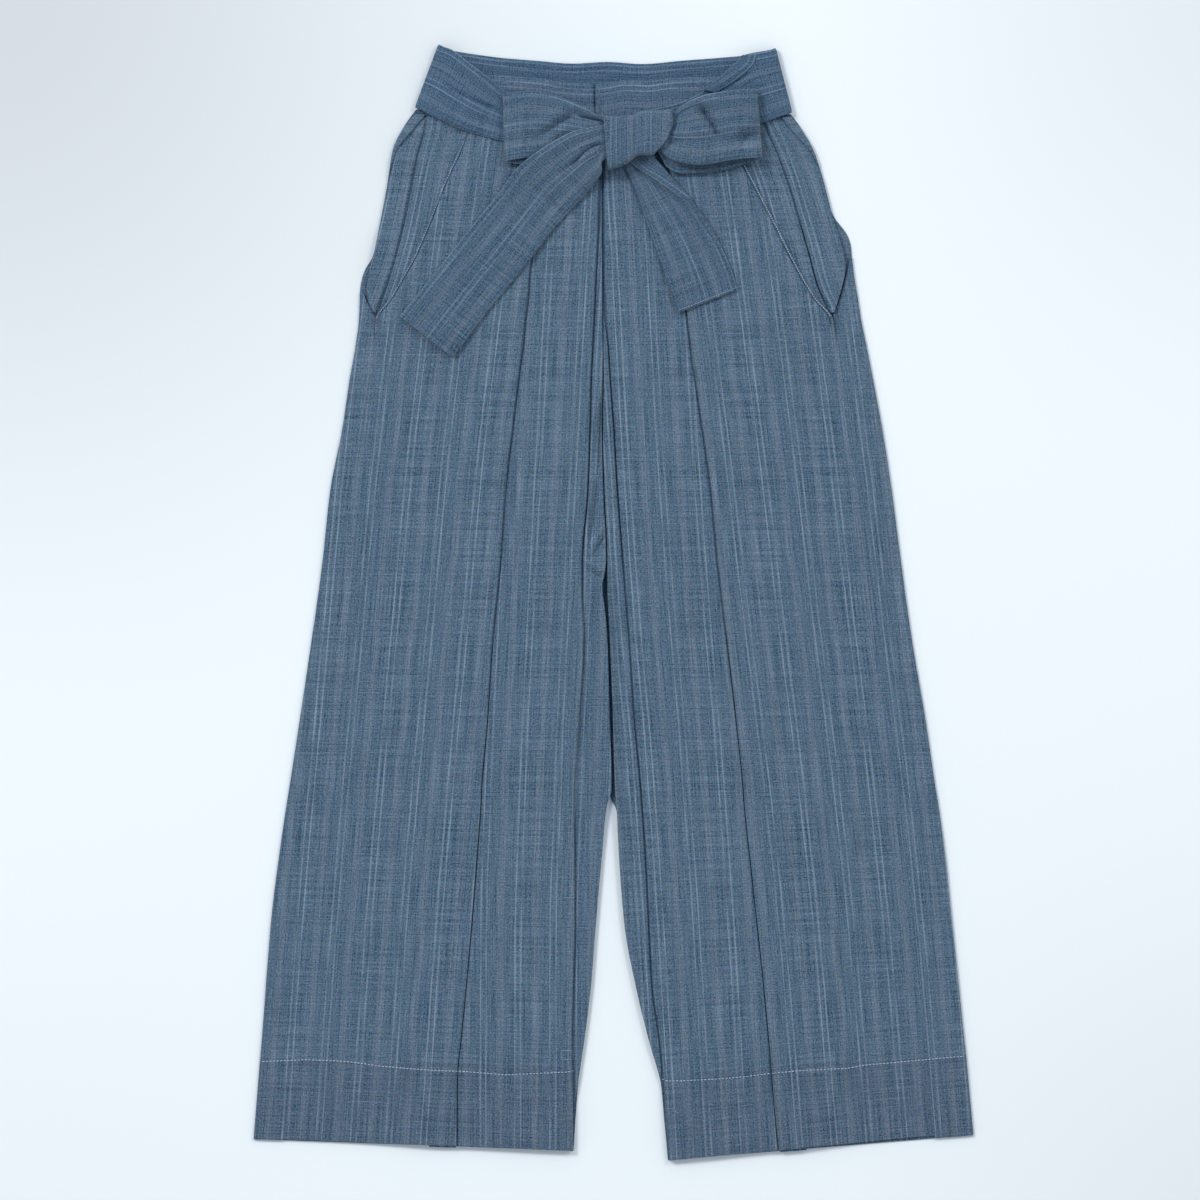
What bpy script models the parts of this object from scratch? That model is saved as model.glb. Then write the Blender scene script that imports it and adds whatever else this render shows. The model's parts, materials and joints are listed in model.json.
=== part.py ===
"""Hakama trousers, laid flat with the belt tied in a bow.

Every piece is a wall of cloth through sections. A section or a station of a band is a row of a
short table. Tables are in millimetres: 'across' runs from the middle of the garment towards the
wearer's left, 'down' runs from the top of the waist to the hem, and 'height' is the middle of the
wall above the surface that the garment lies on.
"""

import math

import bmesh
import bpy

MM = 0.001

# Driving dimensions, in millimetres.
LENGTH = 950.0
CLOTH = 1.0
BELT_CLOTH = 1.5
LAYER_GAP = 0.3
WAISTBAND_HEIGHT = 48.0
PLEAT_DEPTH = 23.0
CENTRE_PLEAT_DEPTH = 20.0

# Heights of the middle of each layer.
LAYER = CLOTH + LAYER_GAP
GROUND_LAYER = CLOTH / 2
FIRST_LAYER = GROUND_LAYER + LAYER
SECOND_LAYER = FIRST_LAYER + LAYER
TOP_LAYER = SECOND_LAYER + LAYER
BELT_GROUND = BELT_CLOTH / 2
FOLD_STRIP_RISE = BELT_CLOTH + LAYER_GAP

INDIGO = (0.088, 0.135, 0.198, 1.0)
PALE_INDIGO = (0.104, 0.150, 0.212, 1.0)
CLOTH_ROUGHNESS = 0.85

# The side line, the slanted side opening and the seam below it, the fold of the side pleat, the
# fold of the centre pleat and the inside edge of each leg.
FRONT_COLUMNS = ("down", "edge", "fold", "centre_fold", "inner", "edge_height")
FRONT_RIGHT = (
    (77, -125, -61, -12, -9.7, 4.4),
    (98, -134, -63, -12, -9.7, 4.4),
    (123, -146, -65, -12.4, -9.7, 4.4),
    (153, -158, -68, -13, -9.7, 4.4),
    (180, -170, -70, -14, -9.7, 4.4),
    (203, -183, -72, -15.3, -9.6, 4.4),
    (218, -192, -73, -15.8, -9.5, 4.4),
    (233, -202.5, -75, -16.6, -9.5, 4.4),
    (256, -203.3, -77, -17.7, -9.3, 3.4),
    (285, -206.6, -81, -19, -9.2, 2.4),
    (328, -212.6, -86, -20, -9.8, 1.8),
    (379, -221, -92, -21.7, -8.7, 1.8),
    (439, -227.5, -96, -26.6, -6.3, 1.8),
    (478, -232, -100, -26.3, -9, 1.8),
    (507, -236.4, -103, -25.3, -5.5, 1.8),
    (575, -245.8, -107, -29, -3, 1.8),
    (634, -253.9, -112, -33, -1.4, 1.8),
    (646, -255.6, -112.5, -33.2, -5.5, 1.8),
    (694, -262, -116, -32.8, -10.2, 1.8),
    (746, -268, -120, -32.6, -14.9, 1.8),
    (797, -272, -124.5, -34, -18.9, 1.8),
    (844, -275, -129, -35, -24.5, 1.8),
    (878, -277.4, -132.4, -34.4, -29.6, 1.8),
    (907, -279, -132.8, -34, -33.6, 1.8),
    (940, -280.7, -133, -34, -35, 1.8),
)
FRONT_LEFT = (
    (77, 98.5, 43, -9.8, -9, 4.4),
    (98, 109.4, 45.6, -9.5, -8.8, 4.4),
    (123, 122.5, 48.6, -9.2, -8.7, 4.4),
    (153, 138.3, 52, -8.9, -8.6, 4.4),
    (180, 152, 55.4, -8.7, -8.6, 4.4),
    (203, 164.4, 58.4, -8.5, -8.6, 4.4),
    (218, 174.2, 60, -7.7, -8.6, 4.4),
    (233, 186.6, 62, -6.8, -8.6, 4.4),
    (256, 189.6, 65, -5, -8.5, 3.4),
    (285, 193.8, 69, -3.2, -8.3, 2.4),
    (328, 199.8, 75.3, -0.3, -8.8, 1.8),
    (379, 208.3, 82.3, 2.7, -7.6, 1.8),
    (439, 216.8, 88, 7.5, -5.2, 1.8),
    (478, 222, 92.5, 10.6, -6.8, 1.8),
    (507, 226.2, 96, 13, -3.6, 1.8),
    (575, 236.4, 103.5, 17.5, -0.6, 1.8),
    (634, 244.1, 109.5, 23, 1.3, 1.8),
    (646, 245.8, 110.3, 23.8, 2.4, 1.8),
    (694, 251.8, 115.4, 27, 5, 1.8),
    (746, 256.5, 121, 29.6, 9.4, 1.8),
    (797, 261, 126.5, 32.5, 19.2, 1.8),
    (844, 265.4, 131, 39, 31, 1.8),
    (878, 268.4, 133.8, 42, 41, 1.8),
    (907, 270.5, 136.2, 43.7, 44.5, 1.8),
    (940, 273, 139.6, 46.4, 47.5, 1.8),
)

# The outline of each back panel. Below the side opening it wraps forward over the side by 'wrap'
# and meets the front at the side seam.
BACK_COLUMNS = ("down", "side", "wrap", "inner")
BACK_RIGHT = (
    (55.8, -167.8, 0, -9.7),
    (72, -179.3, 0, -9.7),
    (90, -187.9, 0, -9.7),
    (123, -193.2, 0, -9.7),
    (153, -199, 0, -9.7),
    (180, -204.9, 0, -9.7),
    (192, -211.7, 0, -9.7),
    (203, -215.1, 0, -9.6),
    (209, -215.8, 1.6, -9.6),
    (217, -215.9, 5.4, -9.5),
    (233, -216.5, 13.6, -9.5),
    (256, -219.4, 15.6, -9.3),
    (285, -224.5, 17.4, -9.2),
    (328, -231, 18, -9.8),
    (379, -240.9, 19.5, -8.7),
    (439, -247.5, 19.6, -6.3),
    (507, -256.9, 20.1, -5.5),
    (575, -267, 20.8, -3),
    (634, -275.9, 21.6, -1.4),
    (646, -277.8, 21.8, -5.5),
    (694, -284.7, 22.3, -10.2),
    (746, -291, 22.6, -14.9),
    (797, -295.2, 22.8, -18.9),
    (844, -298.6, 23.2, -24.5),
    (878, -301.4, 23.6, -29.6),
    (907, -303.7, 24.2, -32),
    (940, -306.3, 25.2, -34),
)
BACK_LEFT = (
    (59.5, 150.9, 0, -9.1),
    (72, 159.8, 0, -9.1),
    (90, 170.2, 0, -9.1),
    (115, 178.5, 0, -9),
    (144, 186.2, 0, -9),
    (163.5, 199.6, 0, -8.9),
    (172, 202.2, 0, -8.9),
    (181, 202.9, 1.6, -8.8),
    (196, 204.6, 6.5, -8.7),
    (217, 208, 15.4, -8.6),
    (233, 210.4, 23.4, -8.6),
    (256, 215.1, 25.1, -8.5),
    (285, 220.8, 26.6, -8.3),
    (328, 228.8, 28.6, -8.8),
    (379, 236.6, 27.9, -7.6),
    (439, 244.4, 27.2, -5.2),
    (507, 253.9, 27.3, -3.6),
    (575, 265.4, 28.6, -0.6),
    (634, 273.9, 29.4, 1.3),
    (646, 275.9, 29.7, 2.4),
    (694, 282.4, 30.2, 5),
    (746, 287.6, 30.7, 9.4),
    (797, 292.7, 31.3, 19.2),
    (844, 297.3, 31.5, 31),
    (878, 300.8, 32, 40.5),
    (907, 303.3, 32.4, 43.2),
    (940, 306.3, 32.9, 46.4),
)

# Side openings: the back's leaf, whose top corner turns over as a strip, and the front's leaf,
# which shows between its own edge and the slanted edge of the front.
BACK_LEAF_COLUMNS = ("down", "outer", "strip", "inner")
BACK_LEAF_RIGHT = (
    (59.5, -168.6, 8.6, -140),
    (72, -179.1, 8.6, -142),
    (82, -184.8, 5.6, -144),
    (90.5, -187.7, 2.2, -146),
    (123, -193.1, 0, -152),
    (153, -198.9, 0, -160),
    (180, -204.5, 0, -169),
    (193, -207.6, 0, -174),
    (208, -209.6, 0, -182),
    (218, -208.8, 0, -190),
    (228, -204, 0, -195),
)
BACK_LEAF_LEFT = (
    (61.5, 151.2, 8.4, 122),
    (72, 159.6, 8.4, 126),
    (82, 165.8, 6, 130),
    (90.5, 170.2, 2.2, 133),
    (115, 178.4, 0, 143),
    (144, 186.1, 0, 155),
    (158, 190.2, 0, 161),
    (176, 195.4, 0, 166),
    (190, 197.4, 0, 171),
    (210, 193.4, 0, 177),
    (228, 188, 0, 181),
)
FRONT_LEAF_COLUMNS = ("down", "outer", "inner")
FRONT_LEAF_RIGHT = (
    (61, -158.5, -127),
    (72, -160, -125.5),
    (80, -162, -114),
    (94.5, -166, -117),
    (132, -173.4, -131),
    (167, -181, -149),
    (197, -189.4, -166),
    (210, -193.8, -175),
    (224, -199, -186),
)
FRONT_LEAF_LEFT = (
    (64, 126, 101),
    (72, 129.4, 101),
    (77, 131.6, 98.6),
    (82, 134, 88),
    (92, 138.4, 91),
    (115, 147, 103),
    (146, 156.4, 119),
    (181.5, 166.6, 137),
    (205.5, 173, 149),
    (224, 181.5, 168),
)

# Bands. Each station gives the two edges of the band and their heights. 'crown' is the rise of
# its middle over the line between them, and 'gather' the height of the creases at the knot.
BAND_COLUMNS = (
    "upper_across", "upper_down", "upper_height",
    "lower_across", "lower_down", "lower_height", "crown", "gather",
)
BELT_BACK = (
    (-136.4, 5.2, -156.3, 56.4),
    (-120.6, 7.8, -133, 61),
    (-95.9, 11.1, -104, 65.5),
    (-66, 13.6, -70, 69.3),
    (-35.4, 16.0, -37, 72),
    (-4.7, 14.6, -4.7, 72.3),
    (25.1, 16.4, 26, 71.6),
    (56.7, 13.7, 60, 69.4),
    (90.7, 11.1, 97, 66.2),
    (116.8, 8.5, 127, 62.8),
    (125.6, 6.3, 139.6, 60.6),
)
BELT_RIGHT = (
    (-137.2, 5.0, 0.75, -157.2, 56.2, 0.75, 0, 0),
    (-146.4, 0.9, 0.75, -166.6, 54.3, 0.75, 0, 0),
    (-148.4, 0.1, 1.6, -168.4, 53.8, 1.6, 0, 0),
    (-148.4, 0.1, 4.2, -168.4, 53.8, 4.2, 0, 0),
    (-145.0, 1.8, 5.0, -164.6, 55.4, 5.0, 0.2, 0),
    (-136.7, 5.1, 5.2, -158.4, 59.2, 5.2, 0.6, 0),
    (-122.3, 16.2, 5.6, -146.1, 64.8, 5.4, 0.6, 0.4),
    (-103.5, 30.7, 6.2, -127, 73.3, 6.0, 0.3, 0.2),
    (-90, 41, 6.2, -94, 82.6, 6.2, 0, 0),
    (-52, 54, 6.2, -54, 90, 6.2, 0, 0),
    (8, 63, 6.2, 8, 92, 6.2, 0, 0),
)
BELT_LEFT = (
    (126.5, 6.1, 0.75, 140.5, 60.4, 0.75, 0, 0),
    (135.8, 3.9, 0.75, 149.7, 58.4, 0.75, 0, 0),
    (137.4, 3.2, 1.6, 151.4, 58.0, 1.6, 0, 0),
    (137.4, 3.2, 4.2, 151.4, 58.0, 4.2, 0, 0),
    (133.6, 4.6, 5.0, 147.6, 59.4, 5.0, 0.2, 0),
    (111.0, 9.4, 5.4, 131, 65.4, 5.3, 0.6, 0),
    (105.6, 14.6, 5.6, 122.0, 68.3, 5.4, 0.5, 0.3),
    (94.4, 25.6, 6.2, 103.5, 73.4, 6.2, 0.2, 0),
    (77.0, 39.5, 6.2, 79, 78.4, 6.2, 0, 0),
    (56.7, 49.4, 6.2, 56.7, 84, 6.2, 0, 0),
    (20, 58, 6.2, 20, 88, 6.2, 0, 0),
)
# From this station on, the upper edge of the left stretch folds forward over itself.
BELT_LEFT_STRIP_FIRST = 5
BELT_LEFT_STRIP = ((121.6, 9.2), (119.4, 16.5), (103.2, 31.4), (86.2, 41.8))

WAISTBAND_COLUMNS = ("across", "top", "height")
WAISTBAND_RIGHT = (
    (-122, 24.5, 2.8),
    (-103.5, 25.8, 2.8),
    (-61, 29, 2.7),
    (-43, 32.2, 2.6),
    (-17, 33.6, 2.6),
    (-6, 32.6, 2.6),
)
WAISTBAND_LEFT = (
    (-14.4, 34, 4.4),
    (-2, 32.4, 4.4),
    (10, 30.3, 3.6),
    (27.7, 31, 2.9),
    (49, 28.5, 2.8),
    (73, 27.6, 2.8),
    (97, 26.4, 2.8),
)

LOOP_RIGHT = (
    (-2.1, 70, 13.5, -2.1, 83.5, 13.4, 0.2, 0.2),
    (-9.4, 68, 13.5, -9.2, 86.5, 13.4, 0.3, 0.3),
    (-16.6, 59.3, 13.6, -14.9, 89.5, 13.2, 0.7, 0.6),
    (-30.7, 52, 13.6, -31.1, 92, 12.6, 0.8, 0.8),
    (-46.4, 45.2, 13.2, -48.1, 94.6, 11.8, 0.9, 0.6),
    (-64.3, 40.9, 12.6, -66.9, 96.3, 11.4, 1.6, 0.3),
    (-82.2, 40.9, 12.2, -83.9, 98.4, 11.3, 1.2, 0),
    (-91.6, 42.9, 11.2, -91.0, 99.8, 10.9, 0.4, 0),
    (-93.4, 43.5, 9.9, -92.2, 100.1, 9.8, 0, 0),
    (-91.2, 44.3, 8.6, -90.4, 100.6, 8.6, 0, 0),
    (-76.3, 45.2, 8.1, -76.3, 102.7, 8.1, 0, 0),
    (-45.6, 50.3, 8.1, -45.6, 101.4, 8.1, 0, 0),
    (-26, 58.5, 9.2, -25, 94.6, 9.0, 0, 0),
    (-12.4, 69.4, 11.7, -12.4, 86, 11.7, 0, 0),
    (-2.1, 71, 11.7, -2.1, 84, 11.7, 0, 0),
)
LOOP_LEFT = (
    (41, 63.5, 14.9, 29.0, 87.0, 14.8, 0.2, 0.2),
    (48.6, 62.4, 15.0, 37.6, 90.0, 14.9, 0.4, 0.3),
    (54.6, 56.4, 15.6, 42.4, 94.4, 14.8, 0.7, 0.5),
    (61, 51.6, 16.6, 49.0, 99.2, 14.7, 1.3, 0.9),
    (68.5, 47.9, 17.0, 58.5, 102.0, 14.8, 1.6, 0.9),
    (78, 44.2, 16.8, 74.0, 103.5, 15.2, 1.7, 0.9),
    (103.5, 40, 15.2, 103.5, 98.8, 14.8, 1.4, 0.3),
    (118.6, 38.8, 13.4, 121.6, 97.4, 13.8, 0.6, 0),
    (121.6, 38.9, 11.2, 126.0, 97.0, 11.4, 0, 0),
    (118.6, 39.6, 8.9, 121.6, 98.8, 8.8, 0, 0),
    (93.3, 48, 8.3, 93.3, 107.4, 8.0, 0, 0),
    (65.7, 54, 9.0, 65.7, 109.9, 8.0, 0, 0),
    (58, 59, 10.4, 55, 109.8, 8.6, 0, 0),
    (53, 63.5, 11.4, 45.4, 104.8, 9.6, 0, 0),
    (49.8, 66, 12.2, 39.6, 95.0, 11.6, 0, 0),
    (46, 67, 12.4, 35.2, 88.0, 12.5, 0, 0),
    (41, 67.6, 12.4, 29, 85, 12.5, 0, 0),
)
TAIL_RIGHT = (
    (-3, 70, 16.4, -3, 97, 15.2, 0.2, 0.2),
    (-9.4, 70, 16.6, -9.4, 101, 15.0, 0.6, 0.3),
    (-22, 72.4, 17.0, -9.8, 109.6, 13.0, 1.0, 0.5),
    (-35.4, 75.8, 17.4, -12.4, 114, 10.5, 1.3, 0.6),
    (-58.4, 88.3, 16.4, -20, 123.5, 8.0, 1.3, 0.4),
    (-80.9, 104.8, 12.2, -36.2, 140.6, 6.4, 0.6, 0.2),
    (-95.9, 124.4, 7.6, -53.3, 159.8, 6.2, 0.3, 0),
    (-117.2, 150.8, 6.2, -72, 184.9, 6.2, 0.3, 0),
    (-149.5, 191.3, 6.2, -104.4, 224.1, 6.2, 0.4, 0),
    (-181.9, 231.7, 6.2, -136.7, 266.7, 6.2, 0, 0),
)
TAIL_LEFT = (
    (30, 89, 6.6, 8.4, 93, 6.8, 0, 0),
    (35.5, 98.8, 6.6, 10.4, 104.8, 6.8, 0.2, 0),
    (46.4, 112, 6.8, 20, 127, 6.4, 0.3, 0),
    (69.4, 138, 6.4, 29.4, 154.2, 6.2, 0.2, 0),
    (88.6, 166.1, 6.2, 39.6, 183.2, 6.2, 0, 0),
    (101, 194.3, 6.2, 50.7, 215.1, 6.2, 0, 0),
    (105.2, 209.1, 6.2, 55, 228.9, 6.2, 0, 0),
)
# The edge of the short tail turns over itself from the knot down to its middle.
TAIL_LEFT_STRIP_FIRST = 0
TAIL_LEFT_STRIP = ((11.6, 97.0), (17.3, 103.2), (37.7, 116.9), (66.7, 139.1), (86.6, 167.0))

# The knot is a sleeve of belt round the roots of the bow: one ring for each row.
KNOT_COLUMNS = (
    "top_across", "middle_across", "bottom_across", "top", "bottom", "low", "high",
)
KNOT = (
    (-8.3, -7.0, -4.7, 62.0, 107.2, 9.9, 18.8),
    (-4.0, -3.0, -1.5, 62.8, 106.6, 9.9, 19.3),
    (4.0, 4.4, 4.4, 63.2, 104.8, 9.9, 19.6),
    (14.0, 13.4, 10.4, 62.2, 102.4, 9.9, 19.8),
    (22.0, 21.2, 15.2, 59.9, 98.8, 9.9, 19.8),
    (29.0, 28.3, 20.4, 58.7, 95.2, 9.9, 19.8),
    (36.0, 35.4, 25.6, 57.9, 94.6, 9.9, 19.8),
    (43.0, 42.3, 30.4, 57.4, 94.9, 9.9, 19.7),
    (49.0, 48.4, 34.0, 57.2, 94.4, 9.9, 19.4),
)
KNOT_SIDES = 20
KNOT_SQUARENESS = 0.5

BAND_STRIPS = 8
GATHER_WAVES = 2.5
SMOOTH_STEPS = 2

# Leg rows bend to the band above them down to TOP_BLEND_END, and to the hem from
# HEM_BLEND_START on. A hem gives its 'down' at the side and at the inside of the leg.
TOP_BLEND_END = 180.0
HEM_BLEND_START = 575.0
LAST_ROW = 940.0
HEM_RIGHT = (932.1, 941.9)
HEM_LEFT = (928.7, 950.0)

# Shares of the way across a panel at which its sections have a point.
NEAR_EDGE = 0.3
NEAR_PLEAT = 0.68
NEAR_PLEAT_RISE = 0.35
INNER_STEP = 0.6
BACK_STEPS = (0.0, 0.15, 0.4, 0.7, 1.0)
WRAP_STEPS = (1.0, 0.5, 0.0)
LEAF_STEPS = (0.0, 0.5, 1.0)
TURNED_STEPS = (1.0, 0.0)

# An edge this high lies on the leaf in the side opening, so the panel beside it stays up too.
FULL_LIFT = 3.4
FOLD_CLEARANCE = 3.0
STRIP_SLANT = 2.0
SEAM_DROP = 3 * LAYER_GAP


def clear_scene():
    for item in list(bpy.data.objects):
        bpy.data.objects.remove(item, do_unlink=True)


def rows_of(columns, table):
    return [dict(zip(columns, values)) for values in table]


def mix(start, end, share):
    return start + (end - start) * share


def clamp(value):
    return max(0.0, min(1.0, value))


def read_line(line, across):
    """The height of a broken line of (across, value) points at this place, flat past its ends."""
    line = sorted(line)
    if across <= line[0][0]:
        return line[0][1]
    for start, end in zip(line, line[1:]):
        if across <= end[0]:
            return mix(start[1], end[1], (across - start[0]) / (end[0] - start[0]))
    return line[-1][1]


def place(across, down, height):
    """A table's point as world coordinates in metres."""
    return (across * MM, (LENGTH / 2 - down) * MM, height * MM)


def between(before, start, end, after, share):
    """A point on a smooth curve from start to end. Without both neighbours it is a straight one."""
    if before is None or after is None:
        return tuple(mix(a, b, share) for a, b in zip(start, end))
    return tuple(
        0.5 * (
            2 * b
            + (c - a) * share
            + (2 * a - 5 * b + 4 * c - d) * share ** 2
            + (3 * b - a - 3 * c + d) * share ** 3
        )
        for a, b, c, d in zip(before, start, end, after)
    )


def smooth_rows(rows, steps):
    """Puts steps - 1 new rows between each two. A new point needs the points beside it."""
    finer = []
    for index in range(len(rows) - 1):
        before = rows[max(index - 1, 0)]
        after = rows[min(index + 2, len(rows) - 1)]
        finer.append(rows[index])
        for step in range(1, steps):
            finer.append([
                None if b is None or c is None else between(a, b, c, d, step / steps)
                for a, b, c, d in zip(before, rows[index], rows[index + 1], after)
            ])
    finer.append(rows[-1])
    return finer


def material(name, colour):
    made = bpy.data.materials.new(name)
    made.use_nodes = True
    shader = made.node_tree.nodes["Principled BSDF"]
    shader.inputs["Base Color"].default_value = colour
    shader.inputs["Roughness"].default_value = CLOTH_ROUGHNESS
    shader.inputs["Metallic"].default_value = 0.0
    return made


def cloth_wall(name, rows, thickness, colour, closed=False):
    """A wall of this thickness about a grid of points. None leaves a hole in the grid."""
    mesh = bpy.data.meshes.new(name)
    shape = bmesh.new()
    grid = [[shape.verts.new(point) if point else None for point in row] for row in rows]
    for upper, lower in zip(grid, grid[1:]):
        count = len(upper)
        for left in range(count if closed else count - 1):
            right = (left + 1) % count
            corners = (upper[left], upper[right], lower[right], lower[left])
            if None not in corners:
                shape.faces.new(corners)
    for point in [point for point in shape.verts if not point.link_faces]:
        shape.verts.remove(point)
    shape.to_mesh(mesh)
    shape.free()
    piece = bpy.data.objects.new(name, mesh)
    mesh.materials.append(material(name, colour))
    mesh.shade_smooth()
    wall = piece.modifiers.new("wall", "SOLIDIFY")
    wall.thickness = thickness * MM
    wall.offset = 0.0
    wall.use_even_offset = True
    wall.use_quality_normals = True
    garment.objects.link(piece)


def down_at(down, across, share, top, top_line, hem):
    """Where a row lies at this place of a leg. The top row follows the band above it, and the
    last row follows the hem, which share gives from the side to the inside of the leg."""
    top_part = clamp((TOP_BLEND_END - down) / (TOP_BLEND_END - top))
    hem_part = clamp((down - HEM_BLEND_START) / (LAST_ROW - HEM_BLEND_START))
    top_shift = read_line(top_line, across) + SEAM_DROP - top
    hem_shift = mix(hem[0], hem[1], share) - LAST_ROW
    return down + top_shift * top_part + hem_shift * hem_part


def belt_line():
    """The lower edge of the belt where it lies on the ground, from side to side."""
    first = BAND_COLUMNS.index("lower_across")
    sides = [row[first:first + 2] for row in BELT_RIGHT[:3] + BELT_LEFT[:3]]
    return [row[2:] for row in BELT_BACK] + sides


def waistband_line():
    bands = WAISTBAND_RIGHT[:-1] + WAISTBAND_LEFT
    return [(across, top + WAISTBAND_HEIGHT) for across, top, _ in bands]


def front_section(row, inward):
    """(across, height) of one section of a front, from the side to the inside of the leg. It
    turns under at the side pleat and again at the centre pleat."""
    edge = row["edge"]
    fold = row["fold"]
    hidden = fold - inward * PLEAT_DEPTH
    centre = row["centre_fold"]
    centre_hidden = centre - inward * CENTRE_PLEAT_DEPTH
    rise_start = fold + inward * FOLD_CLEARANCE
    rise_end = centre_hidden - inward * FOLD_CLEARANCE
    panel = hidden - inward * FOLD_CLEARANCE - edge
    lifted = clamp((row["edge_height"] - FULL_LIFT) / (TOP_LAYER - FULL_LIFT))
    settled = mix((row["edge_height"] + FIRST_LAYER) / 2, TOP_LAYER, lifted)
    return [
        (edge, row["edge_height"]),
        (edge + panel * NEAR_EDGE, settled),
        (edge + panel * NEAR_PLEAT, mix(settled, TOP_LAYER, NEAR_PLEAT_RISE)),
        (edge + panel, TOP_LAYER),
        (fold, TOP_LAYER),
        (fold, SECOND_LAYER),
        (hidden, SECOND_LAYER),
        (hidden, FIRST_LAYER),
        (rise_start, FIRST_LAYER),
        (mix(rise_start, rise_end, 0.5), SECOND_LAYER),
        (rise_end, TOP_LAYER),
        (centre, TOP_LAYER),
        (centre, SECOND_LAYER),
        (centre_hidden, SECOND_LAYER),
        (centre_hidden, FIRST_LAYER),
        (mix(centre_hidden, row["inner"], INNER_STEP), FIRST_LAYER),
        (row["inner"], FIRST_LAYER),
    ]


def front_panel(name, table, inward, hem):
    rows = []
    for row in rows_of(FRONT_COLUMNS, table):
        points = []
        for across, height in front_section(row, inward):
            share = clamp((across - row["edge"]) / (row["inner"] - row["edge"]))
            down = down_at(row["down"], across, share, table[0][0], waistband_line(), hem)
            points.append(place(across, down, height))
        rows.append(points)
    cloth_wall(name, rows, CLOTH, INDIGO)


def back_panel(name, table, inward, hem):
    """It lies on the ground, and below the side opening it turns up over the side."""
    rows = []
    for row in rows_of(BACK_COLUMNS, table):
        side = row["side"]
        wrap = row["wrap"]
        section = [
            (side + inward * share * wrap, FIRST_LAYER) if wrap else None
            for share in WRAP_STEPS
        ]
        section += [(mix(side, row["inner"], share), GROUND_LAYER) for share in BACK_STEPS]
        points = []
        for spot in section:
            if spot is None:
                points.append(None)
                continue
            share = clamp((spot[0] - side) / (row["inner"] - side))
            down = down_at(row["down"], spot[0], share, table[0][0], belt_line(), hem)
            points.append(place(spot[0], down, spot[1]))
        rows.append(points)
    cloth_wall(name, rows, CLOTH, INDIGO)


def back_leaf(name, table, inward):
    """The leaf of cloth inside the side opening, whose top corner turns over itself."""
    rows = []
    for row in rows_of(BACK_LEAF_COLUMNS, table):
        outer = row["outer"]
        strip = row["strip"]
        points = [
            place(outer + inward * share * strip, row["down"] + share * STRIP_SLANT, SECOND_LAYER)
            if strip
            else None
            for share in TURNED_STEPS
        ]
        for share in LEAF_STEPS:
            across = mix(outer, row["inner"], share)
            below_belt = read_line(belt_line(), across) + SEAM_DROP
            points.append(place(across, max(row["down"], below_belt), FIRST_LAYER))
        rows.append(points)
    cloth_wall(name, rows, CLOTH, INDIGO)


def front_leaf(name, table):
    """The long narrow leaf that shows beside the slanted edge of the front."""
    rows = []
    for row in rows_of(FRONT_LEAF_COLUMNS, table):
        rows.append([
            place(mix(row["outer"], row["inner"], share), row["down"], SECOND_LAYER)
            for share in LEAF_STEPS
        ])
    cloth_wall(name, rows, CLOTH, PALE_INDIGO)


def band_rows(table, strip_first=0, strip=()):
    """Points across each station of a band. A strip turns the upper edge over the band."""
    rows = []
    for index, row in enumerate(rows_of(BAND_COLUMNS, table)):
        points = []
        if strip:
            shown = strip_first <= index < strip_first + len(strip)
            height = row["upper_height"] + FOLD_STRIP_RISE
            turn = (row["upper_across"], row["upper_down"], height)
            points.append(place(*strip[index - strip_first], height) if shown else None)
            points.append(place(*turn) if shown else None)
        for step in range(BAND_STRIPS + 1):
            share = step / BAND_STRIPS
            bulge = row["crown"] * 4 * share * (1 - share)
            crease = row["gather"] * math.sin(2 * math.pi * GATHER_WAVES * share)
            points.append(place(
                mix(row["upper_across"], row["lower_across"], share),
                mix(row["upper_down"], row["lower_down"], share),
                mix(row["upper_height"], row["lower_height"], share) + bulge + crease,
            ))
        rows.append(points)
    lowest = BELT_GROUND * MM
    return [
        [point and (*point[:2], max(point[2], lowest)) for point in row]
        for row in smooth_rows(rows, SMOOTH_STEPS)
    ]


def belt_back():
    flat = [(*row[:2], BELT_GROUND, *row[2:], BELT_GROUND, 0, 0) for row in BELT_BACK]
    cloth_wall("belt_back", band_rows(flat), BELT_CLOTH, PALE_INDIGO)


def waistband(name, table):
    rows = []
    for row in rows_of(WAISTBAND_COLUMNS, table):
        rows.append([
            place(row["across"], row["top"] + WAISTBAND_HEIGHT * share, row["height"])
            for share in LEAF_STEPS
        ])
    cloth_wall(name, rows, BELT_CLOTH, PALE_INDIGO)


def soft_power(value):
    return math.copysign(abs(value) ** KNOT_SQUARENESS, value)


def knot_across(row, share):
    """Where a ring of the knot lies, on a curve through its top, its middle and its bottom."""
    return (
        row["top_across"] * (1 - 2 * share) * (1 - share)
        + row["middle_across"] * 4 * share * (1 - share)
        + row["bottom_across"] * share * (2 * share - 1)
    )


def knot():
    """A sleeve of flattened rings, each a box whose corners are as round as squareness says."""
    rows = []
    for row in rows_of(KNOT_COLUMNS, KNOT):
        middle_down = mix(row["top"], row["bottom"], 0.5)
        middle_height = mix(row["low"], row["high"], 0.5)
        half_down = (row["bottom"] - row["top"]) / 2
        half_height = (row["high"] - row["low"]) / 2
        points = []
        for side in range(KNOT_SIDES):
            turn = 2 * math.pi * (side + 0.5) / KNOT_SIDES
            down = middle_down + half_down * soft_power(math.cos(turn))
            height = middle_height + half_height * soft_power(math.sin(turn))
            share = (down - row["top"]) / (row["bottom"] - row["top"])
            points.append(place(knot_across(row, share), down, height))
        rows.append(points)
    cloth_wall("bow_knot", rows, BELT_CLOTH, INDIGO, closed=True)


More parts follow.
